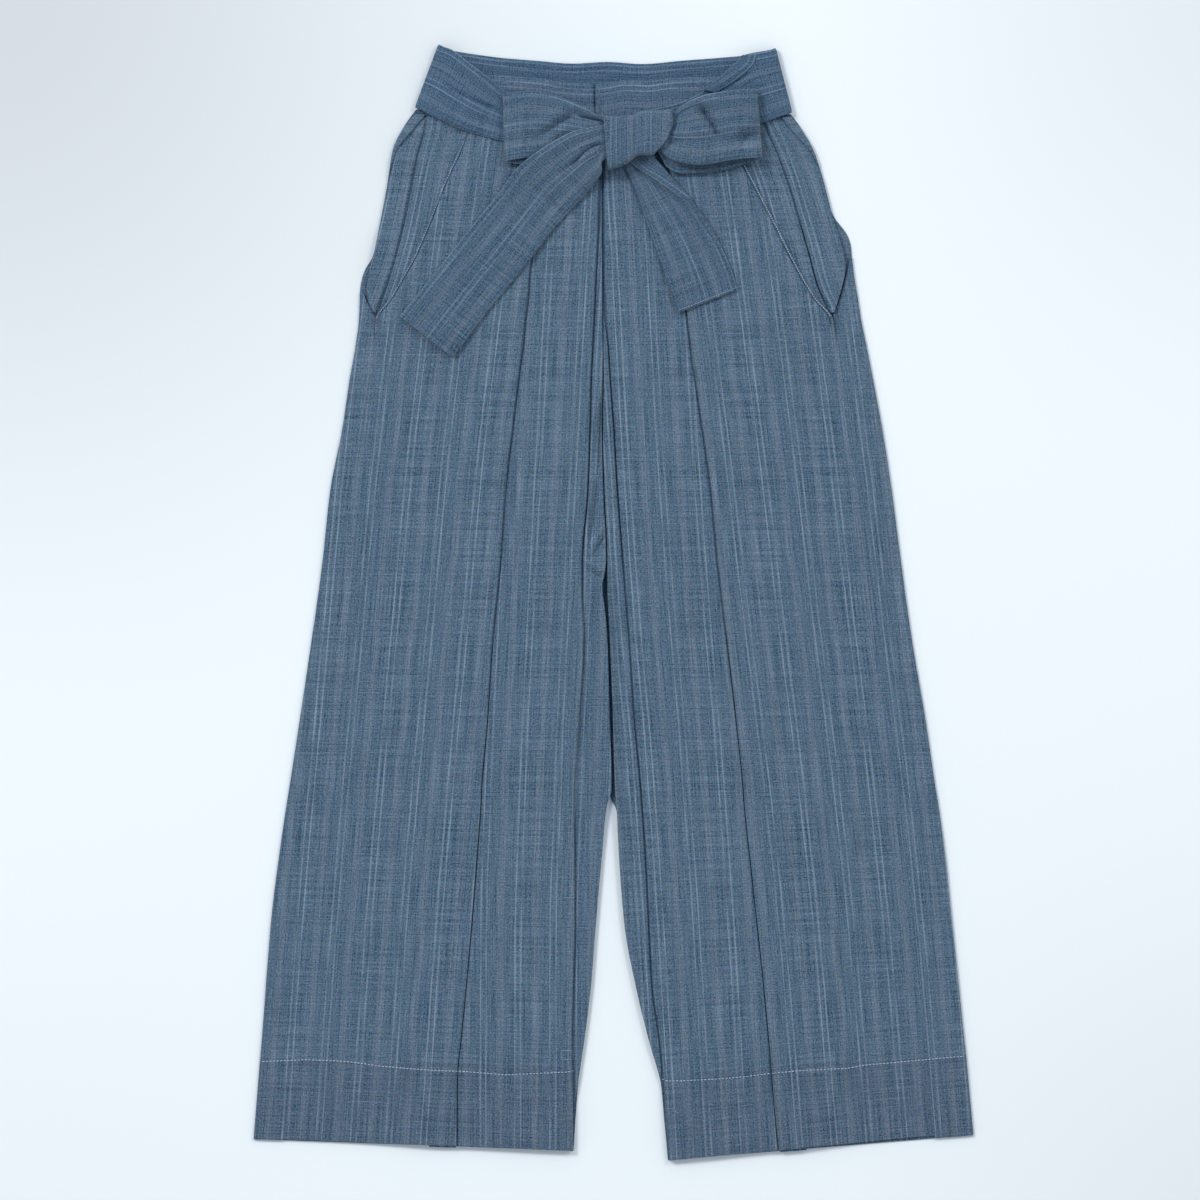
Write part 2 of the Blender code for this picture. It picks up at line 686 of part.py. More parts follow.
def build():
    back_panel("back_leg_right", BACK_RIGHT, 1, HEM_RIGHT)
    back_panel("back_leg_left", BACK_LEFT, -1, HEM_LEFT)
    back_leaf("back_leaf_right", BACK_LEAF_RIGHT, 1)
    back_leaf("back_leaf_left", BACK_LEAF_LEFT, -1)
    front_leaf("front_leaf_right", FRONT_LEAF_RIGHT)
    front_leaf("front_leaf_left", FRONT_LEAF_LEFT)
    front_panel("front_leg_right", FRONT_RIGHT, 1, HEM_RIGHT)
    front_panel("front_leg_left", FRONT_LEFT, -1, HEM_LEFT)
    belt_back()
    waistband("front_waistband_right", WAISTBAND_RIGHT)
    waistband("front_waistband_left", WAISTBAND_LEFT)
    cloth_wall("belt_right", band_rows(BELT_RIGHT), BELT_CLOTH, PALE_INDIGO)
    left_stretch = band_rows(BELT_LEFT, BELT_LEFT_STRIP_FIRST, BELT_LEFT_STRIP)
    cloth_wall("belt_left", left_stretch, BELT_CLOTH, PALE_INDIGO)
    cloth_wall("bow_loop_right", band_rows(LOOP_RIGHT), BELT_CLOTH, INDIGO)
    cloth_wall("bow_loop_left", band_rows(LOOP_LEFT), BELT_CLOTH, INDIGO)
    cloth_wall("bow_tail_right", band_rows(TAIL_RIGHT), BELT_CLOTH, INDIGO)
    short_tail = band_rows(TAIL_LEFT, TAIL_LEFT_STRIP_FIRST, TAIL_LEFT_STRIP)
    cloth_wall("bow_tail_left", short_tail, BELT_CLOTH, INDIGO)
    knot()


clear_scene()
garment = bpy.data.collections.new("hakama_trousers")
bpy.context.scene.collection.children.link(garment)
build()
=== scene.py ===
"""Hakama trousers of striped indigo cotton, laid flat and tied with their own belt in a bow.

Every piece of cloth is a thin shell over a grid of points. Tables are in millimetres: 'across' runs
from the middle of the garment towards the wearer's left, 'down' runs from the top of the waist to
the hem, and 'height' is the middle of the cloth above the surface that the garment lies on. Right
and left are the wearer's. 'Inward' is the way across from the side of a leg to its inside.
"""

import json
import math

import bpy
import numpy as np
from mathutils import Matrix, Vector
from mathutils.bvhtree import BVHTree

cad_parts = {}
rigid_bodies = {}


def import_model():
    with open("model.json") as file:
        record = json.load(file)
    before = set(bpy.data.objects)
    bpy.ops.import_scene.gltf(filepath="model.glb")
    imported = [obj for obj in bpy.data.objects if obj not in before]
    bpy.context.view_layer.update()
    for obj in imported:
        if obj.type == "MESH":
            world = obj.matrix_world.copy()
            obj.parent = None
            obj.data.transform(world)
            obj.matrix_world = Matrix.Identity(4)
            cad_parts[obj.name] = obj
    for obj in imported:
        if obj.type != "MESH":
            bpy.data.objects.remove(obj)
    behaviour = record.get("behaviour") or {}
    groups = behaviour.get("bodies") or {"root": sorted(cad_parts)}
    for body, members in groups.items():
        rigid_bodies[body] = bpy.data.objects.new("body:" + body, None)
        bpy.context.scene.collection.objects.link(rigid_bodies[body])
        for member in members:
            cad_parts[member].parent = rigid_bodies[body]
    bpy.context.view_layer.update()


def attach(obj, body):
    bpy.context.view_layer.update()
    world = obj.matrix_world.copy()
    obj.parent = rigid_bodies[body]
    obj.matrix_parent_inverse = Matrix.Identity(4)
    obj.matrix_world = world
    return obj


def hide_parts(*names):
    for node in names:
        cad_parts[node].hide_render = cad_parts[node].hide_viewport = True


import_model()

bl_info = {
    "name": "Hakama Trousers",
    "version": (1, 0, 0),
    "blender": (4, 5, 0),
    "location": "3D View > Sidebar > Hakama",
    "description": "Builds hakama trousers laid flat, tied with their own belt in a bow",
    "category": "Add Mesh",
}

MM = 0.001
LENGTH = 950.0
INWARD = {"right": 1, "left": -1}

# Heights of the middle of each layer of the legs, and the radius of a fold between two layers.
GROUND_LAYER = 0.5
FIRST_LAYER = 1.8
SECOND_LAYER = 3.1
TOP_LAYER = 4.4
FOLD_RADIUS = (TOP_LAYER - SECOND_LAYER) / 2
LAYER_GAP = 0.3
SEAM_DROP = 3 * LAYER_GAP

# The height of the edge beside the side opening, then for each leg the side line, which is the
# slanted edge and the seam below it, the fold of the side pleat, the fold of the centre pleat and
# the inside edge.
FRONT_COLUMNS = (
    "down", "edge_height", "right_edge", "right_fold", "right_centre", "right_inner",
    "left_edge", "left_fold", "left_centre", "left_inner",
)
FRONT = (
    (77, 4.4, -125, -61, -12, -9.7, 98.5, 43, -9.8, -9),
    (98, 4.4, -134, -63, -12, -9.7, 109.4, 45.6, -9.5, -8.8),
    (123, 4.4, -146, -65, -12.4, -9.7, 122.5, 48.6, -9.2, -8.7),
    (153, 4.4, -158, -68, -13, -9.7, 138.3, 52, -8.9, -8.6),
    (180, 4.4, -170, -70, -14, -9.7, 152, 55.4, -8.7, -8.6),
    (203, 4.4, -183, -72, -15.3, -9.6, 164.4, 58.4, -8.5, -8.6),
    (218, 4.4, -192, -73, -15.8, -9.5, 174.2, 60, -7.7, -8.6),
    (233, 4.4, -202.5, -75, -16.6, -9.5, 186.6, 62, -6.8, -8.6),
    (256, 1.9, -203.3, -77, -17.7, -9.3, 189.6, 65, -5, -8.5),
    (285, 1.8, -206.6, -81, -19, -9.2, 193.8, 69, -3.2, -8.3),
    (328, 1.8, -212.6, -86, -20, -9.8, 199.8, 75.3, -0.3, -8.8),
    (379, 1.8, -221, -92, -21.7, -8.7, 208.3, 82.3, 2.7, -7.6),
    (439, 1.8, -227.5, -96, -26.6, -6.3, 216.8, 88, 7.5, -5.2),
    (450, 1.8, -228.8, -97.2, -26.8, -7.4, 218.3, 89.3, 8.4, -5.3),
    (461, 1.8, -230.1, -98.3, -26.8, -9.5, 219.8, 90.6, 9.3, -5.3),
    (484, 1.8, -232.9, -100.7, -26.1, -6.9, 222.9, 93.2, 11.1, -4.4),
    (507, 1.8, -236.4, -103, -25.3, -5.1, 226.2, 96, 13, -3.2),
    (575, 1.8, -245.8, -107, -29, -3, 236.4, 103.5, 17.5, -0.6),
    (634, 1.8, -253.9, -112, -33, -1.4, 244.1, 109.5, 23, 1.3),
    (646, 1.8, -255.6, -112.5, -33.2, -5.5, 245.8, 110.3, 23.8, 2.4),
    (694, 1.8, -262, -116, -32.8, -10.2, 251.8, 115.4, 27, 5),
    (746, 1.8, -268, -120, -32.6, -14.9, 256.5, 121, 29.6, 9.4),
    (797, 1.8, -272, -124.5, -34, -18.9, 261, 126.5, 32.5, 19.2),
    (844, 1.8, -275, -129, -35, -24.5, 265.4, 131, 39, 31),
    (878, 1.8, -277.4, -132.4, -34.4, -29.6, 268.4, 133.8, 42, 41),
    (907, 1.8, -279, -132.8, -34, -33.6, 270.5, 136.2, 43.7, 44.5),
    (940, 1.8, -280.7, -133, -34, -35, 273, 139.6, 46.4, 47.5),
)

# The outline of each back panel. Below the side opening it wraps forward over the side by 'wrap'
# and meets the front at the side seam.
BACK_COLUMNS = ("down", "side", "wrap", "inner")
BACK = {
    "right": (
        (55.8, -167.8, 0, -9.7), (72, -179.3, 0, -9.7), (90, -187.9, 0, -9.7),
        (123, -193.2, 0, -9.7), (153, -199, 0, -9.7), (180, -204.9, 0, -9.7),
        (192, -211.7, 0, -9.7), (203, -215.1, 0, -9.6), (209, -215.8, 1.6, -9.6),
        (217, -215.9, 5.4, -9.5), (233, -216.5, 13.6, -9.5), (256, -219.4, 15.6, -9.3),
        (285, -224.5, 17.4, -9.2), (328, -231, 18, -9.8), (379, -240.9, 19.5, -8.7),
        (439, -247.5, 19.6, -6.3), (507, -256.9, 20.1, -5.5), (575, -267, 20.8, -3),
        (634, -275.9, 21.6, -1.4), (646, -277.8, 21.8, -5.5), (694, -284.7, 22.3, -10.2),
        (746, -291, 22.6, -14.9), (797, -295.2, 22.8, -18.9), (844, -298.6, 23.2, -24.5),
        (878, -301.4, 23.6, -29.6), (907, -303.7, 24.2, -32), (940, -306.3, 25.2, -34),
    ),
    "left": (
        (59.5, 150.9, 0, -9.1), (72, 159.8, 0, -9.1), (90, 170.2, 0, -9.1), (115, 178.5, 0, -9),
        (144, 186.2, 0, -9), (163.5, 199.6, 0, -8.9), (172, 202.2, 0, -8.9),
        (181, 202.9, 1.6, -8.8), (196, 204.6, 6.5, -8.7), (217, 208, 15.4, -8.6),
        (233, 210.4, 23.4, -8.6), (256, 215.1, 25.1, -8.5), (285, 220.8, 26.6, -8.3),
        (328, 228.8, 28.6, -8.8), (379, 236.6, 27.9, -7.6), (439, 244.4, 27.2, -5.2),
        (507, 253.9, 27.3, -3.6), (575, 265.4, 28.6, -0.6), (634, 273.9, 29.4, 1.3),
        (646, 275.9, 29.7, 2.4), (694, 282.4, 30.2, 5), (746, 287.6, 30.7, 9.4),
        (797, 292.7, 31.3, 19.2), (844, 297.3, 31.5, 31), (878, 300.8, 32, 40.5),
        (907, 303.3, 32.4, 43.2), (940, 306.3, 32.9, 46.4),
    ),
}

# The lines that the stripes follow on the outer and on the middle panel of each front. They lean
# more at the waist than at the hem.
GRAIN_COLUMNS = ("down", "right_outer", "right_middle", "left_outer", "left_middle")
GRAIN = (
    (56, 66, 34.5, -54, -28.3), (217, 43.4, 25.7, -31.5, -19.6), (354, 27.1, 18.2, -13.8, -11.8),
    (490, 14.5, 11.3, 2, -2.1), (626, 2.2, 5.4, 18.6, 8.9), (763, -9.1, 1.3, 32.8, 18.5),
    (940, -21.5, 0.8, 47.6, 28.9),
)

# Side openings: the back's leaf, whose top corner turns over as a strip, and the front's leaf,
# which shows between its own edge and the slanted edge of the front.
BACK_LEAF_COLUMNS = ("down", "outer", "strip", "inner")
BACK_LEAF = {
    "right": (
        (59.5, -168.6, 8.6, -140), (72, -179.1, 8.6, -142), (82, -184.8, 5.6, -144),
        (90.5, -187.7, 2.2, -146), (123, -193.1, 0, -152), (153, -198.9, 0, -160),
        (180, -204.5, 0, -169), (193, -207.6, 0, -174), (208, -209.6, 0, -182),
        (218, -208.8, 0, -190), (228, -204, 0, -195),
    ),
    "left": (
        (61.5, 151.2, 8.4, 122), (72, 159.6, 8.4, 126), (82, 165.8, 6, 130),
        (90.5, 170.2, 2.2, 133), (115, 178.4, 0, 143), (144, 186.1, 0, 155), (158, 190.2, 0, 161),
        (176, 195.4, 0, 166), (190, 197.4, 0, 171), (210, 193.4, 0, 177), (228, 188, 0, 181),
    ),
}
FRONT_LEAF_COLUMNS = ("down", "outer", "inner")
FRONT_LEAF = {
    "right": (
        (61, -158.5, -127), (72, -160, -125.5), (80, -162, -114), (94.5, -166, -117),
        (132, -173.4, -131), (167, -181, -149), (197, -189.4, -166), (210, -193.8, -175),
        (224, -199, -186),
    ),
    "left": (
        (64, 126, 101), (72, 129.4, 101), (77, 131.6, 98.6), (82, 134, 88), (92, 138.4, 91),
        (115, 147, 103), (146, 156.4, 119), (181.5, 166.6, 137), (205.5, 173, 149),
        (224, 181.5, 168),
    ),
}

# Bands. Each station gives the two edges of the band and their heights. 'crown' is the rise of
# its middle over the line between them, and 'gather' the height of the creases at the knot. A
# column that a station leaves out is 0.
BAND_COLUMNS = (
    "upper_across", "upper_down", "upper_height",
    "lower_across", "lower_down", "lower_height", "crown", "gather",
)
# This one lies on the ground, so its stations leave out the heights.
BELT_BACK = (
    (-136.4, 5.2, -156.3, 56.4), (-120.6, 7.8, -133, 61), (-95.9, 11.1, -104, 65.5),
    (-66, 13.6, -70, 69.3), (-35.4, 16.0, -37, 72), (-4.7, 14.6, -4.7, 72.3),
    (25.1, 16.4, 26, 71.6), (56.7, 13.7, 60, 69.4), (90.7, 11.1, 97, 66.2), (116.8, 8.5, 127, 62.8),
    (125.6, 6.3, 139.6, 60.6),
)
BELT_RIGHT = (
    (-137.2, 5.0, 0.75, -157.2, 56.2, 0.75), (-146.4, 0.9, 0.75, -166.6, 54.3, 0.75),
    (-148.4, 0.1, 1.6, -168.4, 53.8, 1.6), (-148.4, 0.1, 4.2, -168.4, 53.8, 4.2),
    (-145.0, 1.8, 5.0, -164.6, 55.4, 5.0, 0.2), (-136.7, 5.1, 5.2, -158.4, 59.2, 5.2, 0.6),
    (-122.3, 16.2, 5.6, -146.1, 64.8, 5.4, 0.6, 0.4),
    (-103.5, 30.7, 6.2, -127, 73.3, 6.0, 0.3, 0.2), (-90, 41, 6.2, -94, 82.6, 6.2),
    (-52, 54, 6.2, -54, 90, 6.2), (8, 63, 6.2, 8, 92, 6.2),
)
BELT_LEFT = (
    (126.5, 6.1, 0.75, 140.5, 60.4, 0.75), (135.8, 3.9, 0.75, 149.7, 58.4, 0.75),
    (137.4, 3.2, 1.6, 151.4, 58.0, 1.6), (137.4, 3.2, 4.2, 151.4, 58.0, 4.2),
    (133.6, 4.6, 5.0, 147.6, 59.4, 5.0, 0.2), (111.0, 9.4, 5.4, 131, 65.4, 5.3, 0.6),
    (105.6, 14.6, 5.6, 122.0, 68.3, 5.4, 0.5, 0.3), (94.4, 25.6, 6.2, 103.5, 73.4, 6.2, 0.2),
    (77.0, 39.5, 6.2, 79, 78.4, 6.2), (56.7, 49.4, 6.2, 56.7, 84, 6.2), (20, 58, 6.2, 20, 88, 6.2),
)
LOOP_RIGHT = (
    (-2.1, 70, 13.5, -2.1, 83.5, 13.4, 0.2, 0.2), (-9.4, 68, 13.5, -9.2, 86.5, 13.4, 0.3, 0.3),
    (-16.6, 59.3, 13.6, -14.9, 89.5, 13.2, 0.7, 0.6), (-30.7, 52, 13.6, -31.1, 92, 12.6, 0.8, 0.8),
    (-46.4, 45.2, 13.2, -48.1, 94.6, 11.8, 0.9, 0.6),
    (-64.3, 40.9, 12.6, -66.9, 96.3, 11.4, 1.6, 0.3), (-82.2, 40.9, 12.2, -83.9, 98.4, 11.3, 1.2),
    (-91.6, 42.9, 11.2, -91.0, 99.8, 10.9, 0.4), (-93.4, 43.5, 9.9, -92.2, 100.1, 9.8),
    (-91.2, 44.3, 8.6, -90.4, 100.6, 8.6), (-76.3, 45.2, 8.1, -76.3, 102.7, 8.1),
    (-45.6, 50.3, 8.1, -45.6, 101.4, 8.1), (-26, 58.5, 9.2, -25, 94.6, 9.0),
    (-12.4, 69.4, 11.7, -12.4, 86, 11.7), (-2.1, 71, 11.7, -2.1, 84, 11.7),
)
LOOP_LEFT = (
    (41, 63.5, 14.9, 29.0, 87.0, 14.8, 0.2, 0.2), (48.6, 62.4, 15.0, 37.6, 90.0, 14.9, 0.4, 0.3),
    (54.6, 56.4, 15.6, 42.4, 94.4, 14.8, 0.7, 0.5), (61, 51.6, 16.6, 49.0, 99.2, 14.7, 1.3, 0.9),
    (68.5, 47.9, 17.0, 58.5, 102.0, 14.8, 1.6, 0.9), (78, 44.2, 16.8, 74.0, 103.5, 15.2, 1.7, 0.9),
    (103.5, 40, 15.2, 103.5, 98.8, 14.8, 1.4, 0.3), (118.6, 38.8, 13.4, 121.6, 97.4, 13.8, 0.6),
    (121.6, 38.9, 11.2, 126.0, 97.0, 11.4), (118.6, 39.6, 8.9, 121.6, 98.8, 8.8),
    (93.3, 48, 8.3, 93.3, 107.4, 8.0), (65.7, 54, 9.0, 65.7, 109.9, 8.0),
    (58, 59, 10.4, 55, 109.8, 8.6), (53, 63.5, 11.4, 45.4, 104.8, 9.6),
    (49.8, 66, 12.2, 39.6, 95.0, 11.6), (46, 67, 12.4, 35.2, 88.0, 12.5),
    (41, 67.6, 12.4, 29, 85, 12.5),
)
TAIL_RIGHT = (
    (-3, 70, 16.4, -3, 97, 15.2, 0.2, 0.2), (-9.4, 70, 16.6, -9.4, 101, 15.0, 0.6, 0.3),
    (-22, 72.4, 17.0, -9.8, 109.6, 13.0, 1.0, 0.5), (-35.4, 75.8, 17.4, -12.4, 114, 10.5, 1.3, 0.6),
    (-58.4, 88.3, 16.4, -20, 123.5, 8.0, 1.3, 0.4),
    (-80.9, 104.8, 12.2, -36.2, 140.6, 6.4, 0.6, 0.2), (-95.9, 124.4, 7.6, -53.3, 159.8, 6.2, 0.3),
    (-117.2, 150.8, 6.2, -72, 184.9, 6.2, 0.3), (-149.5, 191.3, 6.2, -104.4, 224.1, 6.2, 0.4),
    (-181.9, 231.7, 6.2, -136.7, 266.7, 6.2),
)
TAIL_LEFT = (
    (30, 89, 6.6, 8.4, 93, 6.8), (35.5, 98.8, 6.6, 10.4, 104.8, 6.8, 0.2),
    (46.4, 112, 6.8, 20, 127, 6.4, 0.3), (69.4, 138, 6.4, 29.4, 154.2, 6.2, 0.2),
    (88.6, 166.1, 6.2, 39.6, 183.2, 6.2), (101, 194.3, 6.2, 50.7, 215.1, 6.2),
    (105.2, 209.1, 6.2, 55, 228.9, 6.2),
)
# Strips where the upper edge of a band turns forward over it: places of the strip's free edge,
# from across, down and how far it stands off the band. The belt's strip starts at this station.
BELT_LEFT_STRIP_FIRST = 5
BELT_LEFT_STRIP = (
    (121.6, 9.2, 0.3), (119.4, 16.5, 0.5), (103.2, 31.4, 1.3), (86.2, 41.8, 1.8),
)
TAIL_LEFT_STRIP = (
    (11.6, 97.0, 2.4), (17.3, 103.2, 2.6), (37.7, 116.9, 2.4), (66.7, 139.1, 1.9),
    (86.6, 167.0, 0.5),
)

# The front waistband: across, the down of its top edge, and height.
WAISTBAND_RIGHT = (
    (-122, 24.5, 2.8), (-103.5, 25.8, 2.8), (-61, 29, 2.7), (-43, 32.2, 2.6), (-17, 33.6, 2.6),
    (-6, 32.6, 2.6),
)
WAISTBAND_LEFT = (
    (-14.4, 34, 4.4), (-2, 32.4, 4.4), (10, 30.3, 3.6), (27.7, 31, 2.9), (49, 28.5, 2.8),
    (73, 27.6, 2.8), (97, 26.4, 2.8),
)

# The knot is a sleeve of belt round the roots of the bow: one ring for each row. A row gives the
# across of the ring's top, middle and bottom, the down of its top and bottom, and its low and its
# high side.
KNOT = (
    (-8.3, -7.0, -4.7, 62.0, 107.2, 9.9, 18.8), (-4.0, -3.0, -1.5, 62.8, 106.6, 9.9, 19.3),
    (4.0, 4.4, 4.4, 63.2, 104.8, 9.9, 19.6), (14.0, 13.4, 10.4, 62.2, 102.4, 9.9, 19.8),
    (22.0, 21.2, 15.2, 59.9, 98.8, 9.9, 19.8), (29.0, 28.3, 20.4, 58.7, 95.2, 9.9, 19.8),
    (36.0, 35.4, 25.6, 57.9, 94.6, 9.9, 19.8), (43.0, 42.3, 30.4, 57.4, 94.9, 9.9, 19.7),
    (49.0, 48.4, 34.0, 57.2, 94.4, 9.9, 19.4),
)

# The cloth's creases: a path of (across, down) places, a width and how far the top of the cloth is
# lifted or pressed in, all in mm.
CREASES = (
    (((-15.7, 30), (-15.6, 40), (-15.3, 60)), 1.1, -2.5), (((-13.2, 32), (-12.4, 60)), 1.6, 1.4),
    (((-126, 113), (-96, 113.5)), 1.6, -0.9), (((-10.5, 129), (12, 128.2)), 1.6, -1),
    (((58, 116), (111, 118.5)), 1.8, -0.8), (((-11.4, 268), (-17.2, 356)), 1.5, 1.8),
    (((-17.2, 350), (-23.2, 436)), 1.5, 1.8), (((-9.8, 292), (-13, 372)), 1.4, -2.0),
    (((-13, 362), (-20, 428)), 1.7, -2.2), (((-7.0, 409), (-20.6, 431)), 1.6, 2.0),
    (((-6.6, 417), (-19.8, 438.5)), 1.0, -2.5), (((-7.0, 424), (-16.5, 441)), 3.0, -2.2),
    (((-24.5, 439.5), (-7.5, 450)), 1.3, 2.4), (((-24.5, 445), (-7.5, 455)), 1.0, -2.0),
    (((-150, 69), (-128, 78), (-104, 84)), 6.0, -2.2),
    (((133, 70), (118, 78), (104, 82)), 6.0, -2.0), (((-262, 855), (-242, 849)), 2.2, 0.9),
    (((-150, 350), (-148, 520)), 14, 0.7), (((-190, 420), (-202, 640)), 18, -0.6),
    (((-70, 300), (-78, 560)), 12, 0.6), (((-52, 560), (-60, 760)), 10, -0.6),
    (((-225, 600), (-240, 800)), 16, 0.6), (((-160, 680), (-170, 860)), 18, 0.7),
    (((-100, 640), (-104, 900)), 12, 0.5), (((120, 300), (140, 520)), 16, 0.6),
    (((165, 420), (182, 640)), 18, -0.6), (((40, 260), (55, 500)), 12, 0.6),
    (((70, 520), (84, 760)), 14, -0.5), (((205, 560), (226, 820)), 18, 0.7),
    (((160, 700), (176, 900)), 16, 0.6), (((92, 780), (98, 900)), 10, 0.5),
    (((-240, 900), (-236, 930)), 16, 0.5), (((-190, 905), (-186, 936)), 18, -0.5),
    (((190, 900), (196, 930)), 18, 0.5), (((238, 890), (244, 926)), 14, -0.5),
    (((-155, 210), (-150, 300)), 9, 0.5), (((136, 220), (150, 330)), 10, 0.5),
    (((-205, 300), (-212, 420)), 9, 0.5), (((196, 300), (206, 430)), 10, 0.5),
    (((-124.8, 121), (-146, 137), (-152, 153), (-165, 184), (-179, 207), (-188, 222)), 4.0, 0.7),
    (((111, 110), (123, 137), (141, 171), (155, 199), (172, 226)), 4.0, 0.7),
)

# Tucks that run through the bow and the belt: a path of (across, down), a width and a rise in mm.
BELT_RIGHT_TUCKS = (
    (((-158.9, 30.7), (-128, 44), (-96.7, 57.1), (-90, 60)), 1.5, -1.6),
    (((-150, 32.3), (-124, 42.6), (-94, 54.6)), 2.2, 0.9),
)
BELT_LEFT_TUCKS = (
    (((99, 33), (120.6, 23.5)), 1.5, -1.0), (((97, 28.5), (112, 19.5)), 3.2, -1.0),
    (((100, 36.5), (122, 27.5)), 2.4, 0.8),
)
LOOP_RIGHT_TUCKS = (
    (((-32, 59.6), (-27.7, 62.6), (-20.9, 63.9), (-5, 67.8)), 1.3, -2.8),
    (((-40, 51.5), (-24, 56.8), (-6, 63.8)), 2.8, 1.5),
    (((-31, 59.5), (-44.3, 67.3), (-63.6, 79)), 3.2, -3.4),
    (((-36, 55), (-50, 61), (-70, 71)), 5.0, 1.5), (((-27, 67.8), (-10, 70.8)), 2.2, 1.1),
    (((-44, 74.5), (-58, 85)), 4.0, 1.0), (((-88, 52), (-62, 49)), 3.0, -0.5),
    (((-90, 84), (-66, 88)), 2.6, -0.7),
)
LOOP_LEFT_TUCKS = (
    (((68, 47), (73, 54), (80.5, 66), (90.7, 79.2), (94, 90)), 4.0, -3.8),
    (((74, 54), (79.4, 61), (85, 71), (90, 83)), 2.0, -3.2),
    (((62, 54), (70, 68), (80, 82)), 5.0, 1.7), (((92, 58), (101, 74), (104, 86)), 5.0, 0.8),
    (((49, 65.5), (60, 58), (72, 52.5)), 2.2, -1.8), (((54, 58.5), (64, 52), (78, 47)), 1.8, 0.9),
    (((46, 73), (66, 71)), 1.8, -0.8), (((42, 84), (64, 84)), 1.8, -0.8),
    (((42, 90), (60, 95), (84, 97)), 2.4, -0.9), (((88, 83.5), (119, 80.5)), 1.4, -0.8),
)
TAIL_RIGHT_TUCKS = (
    (((-4, 86.4), (-15.8, 86.9), (-24.6, 92), (-39, 107)), 1.4, -2.6),
    (((-4, 82.6), (-16, 83), (-26, 88.2), (-41, 102)), 2.4, 1.3),
    (((-26, 95), (-44, 111)), 4.0, -1.6), (((-57, 134.4), (-40, 146.8)), 3.0, -1.6),
    (((-61, 130), (-45, 142)), 3.0, 0.8),
)
TAIL_LEFT_TUCKS = (
    (((17, 106.5), (37, 119.5), (64, 141.5), (84, 168)), 3.0, -1.6),
    (((14, 118), (22, 132), (28, 150)), 2.4, 0.7),
)

# How closely the grids are spaced. A small fold crosses the strip in the fine stretch.
ROW_STEP = 4.2
FINE_STRETCH = (402.0, 460.0)
FINE_STEP = 1.1
WAISTBAND_STEP = 0.7
ROLL_COLUMNS = 5
HEM_COLUMNS = 13
SLOPE_COLUMNS = 7
LEVEL_COLUMNS = 9
RISEN_COLUMNS = 8
HIDDEN_COLUMNS = 5
UNDER_COLUMNS = 7
LIP_COLUMNS = 9
PANEL_COLUMNS = 34
BACK_PANEL_COLUMNS = 44
WRAP_COLUMNS = 8
LEAF_COLUMNS = 12
# The four runs of the back's leaf: its standing edge, the rise, the groove's side and the rest.
BACK_LEAF_RUNS = (3, 8, 6, 8)
BAND_STRIPS = 40
BAND_STEPS = 10
KNOT_SIDES = 56
KNOT_ROWS = 40

# The rows of a leg follow the band above it down to the first of these places, and the hem from
# the second one on. The hem is this far down at the side and at the inside of a leg.
TOP_BLEND_END = 180.0
HEM_BLEND_START = 575.0
LAST_ROW = 940.0
HEM = {"right": (932.1, 941.9), "left": (928.7, 950.0)}

# The side pleat and the centre pleat, and how far the cloth over a hidden fold lies flat.
PLEAT_DEPTH = 23.0
CENTRE_PLEAT_DEPTH = 20.0
FOLD_CLEARANCE = 3.0
# The lines of FRONT are where the shadows of the folds fall. The folds lie this far behind them.
FOLD_SET_BACK = {"right": 0.9, "left": 1.6}
# Beside the fold of a pleat the cloth below it lies flat over the groove's floor, then rises: its
# floor, its width and its rise. In the lower half of the leg, reached between these places, the
# pleats are pressed flatter.
GROOVE = (1.2, 1.8, 1.15)
LOW_GROOVE = (0.5, 1.2, 1.7)
LOWER_HALF = (470.0, 600.0)
# The hidden fold of the side pleat hangs this far below the hem.
HEM_PEEK = {"right": 1.3, "left": 2.1}
HEM_PEEK_FROM = 905.0

# The outer panel of a front slopes up from its edge: a little near the edge, then with this power.
# Where the edge lies higher than this it comes free, and the panel is level beside it.
NEAR_EDGE = 0.3
SLOPE_POWER = 1.7
FULL_LIFT = 3.4
# The slanted edge has a hem with a groove beside it. Below the opening the edge moves this far
# out, to close the seam with the back.
EDGE_HEM = 8.0
EDGE_GROOVE = {"right": 1.3, "left": 2.7}
EDGE_GROOVE_AT = 2.6
EDGE_GROOVE_WIDTH = 0.9
SEAM_CLOSING = 0.46

# The strip inside the centre pleat rises beside its fold, by this much on each leg. It starts to
# rise where it is as wide as the first of these, and has risen where it is as wide as the second.
STRIP_COLUMNS = ("down", "right", "left")
STRIP_RISES = (
    (77, 1.0, 1.0), (200, 1.2, 1.4), (285, 1.6, 2.2), (379, 2.2, 2.6), (439, 1.6, 1.4),
    (478, 0.4, 0.9), (560, 0.0, 1.1), (640, 0.1, 1.5), (760, 0.5, 1.2), (940, 0.3, 0.9),
)
STRIP_OPENING = (2.0, 5.0)
STRIP_FLOOR = 1.0
STRIP_GROOVE = 1.6
# The inside edges of the fronts curl up along the slit between them. 'rise' is how far.
SLIT_COLUMNS = ("down", "rise")
SLIT = (
    (77, 0), (270, 0.2), (300, 0.7), (360, 0.9), (430, 1.0), (452, 2.6), (560, 2.9), (640, 1.8),
    (700, 0.4), (800, 0.2), (940, 0),
)
# The curl leans back by this share of its rise. It is this wide, where the strip has this much
# room beside it.
SLIT_LEAN = -0.06
LIP_WIDTH = 7.0
LIP_ROOM = 6.0
# The backs meet under the fronts, this far beside the slit between the fronts, down to the crotch.
BACK_SEAM_SHIFT = 3.0
CROTCH = (636.0, 650.0)
# The back wraps forward by at least this much, and where 'wrap' is less it stays open.
LEAST_WRAP = 1.5 * FOLD_RADIUS

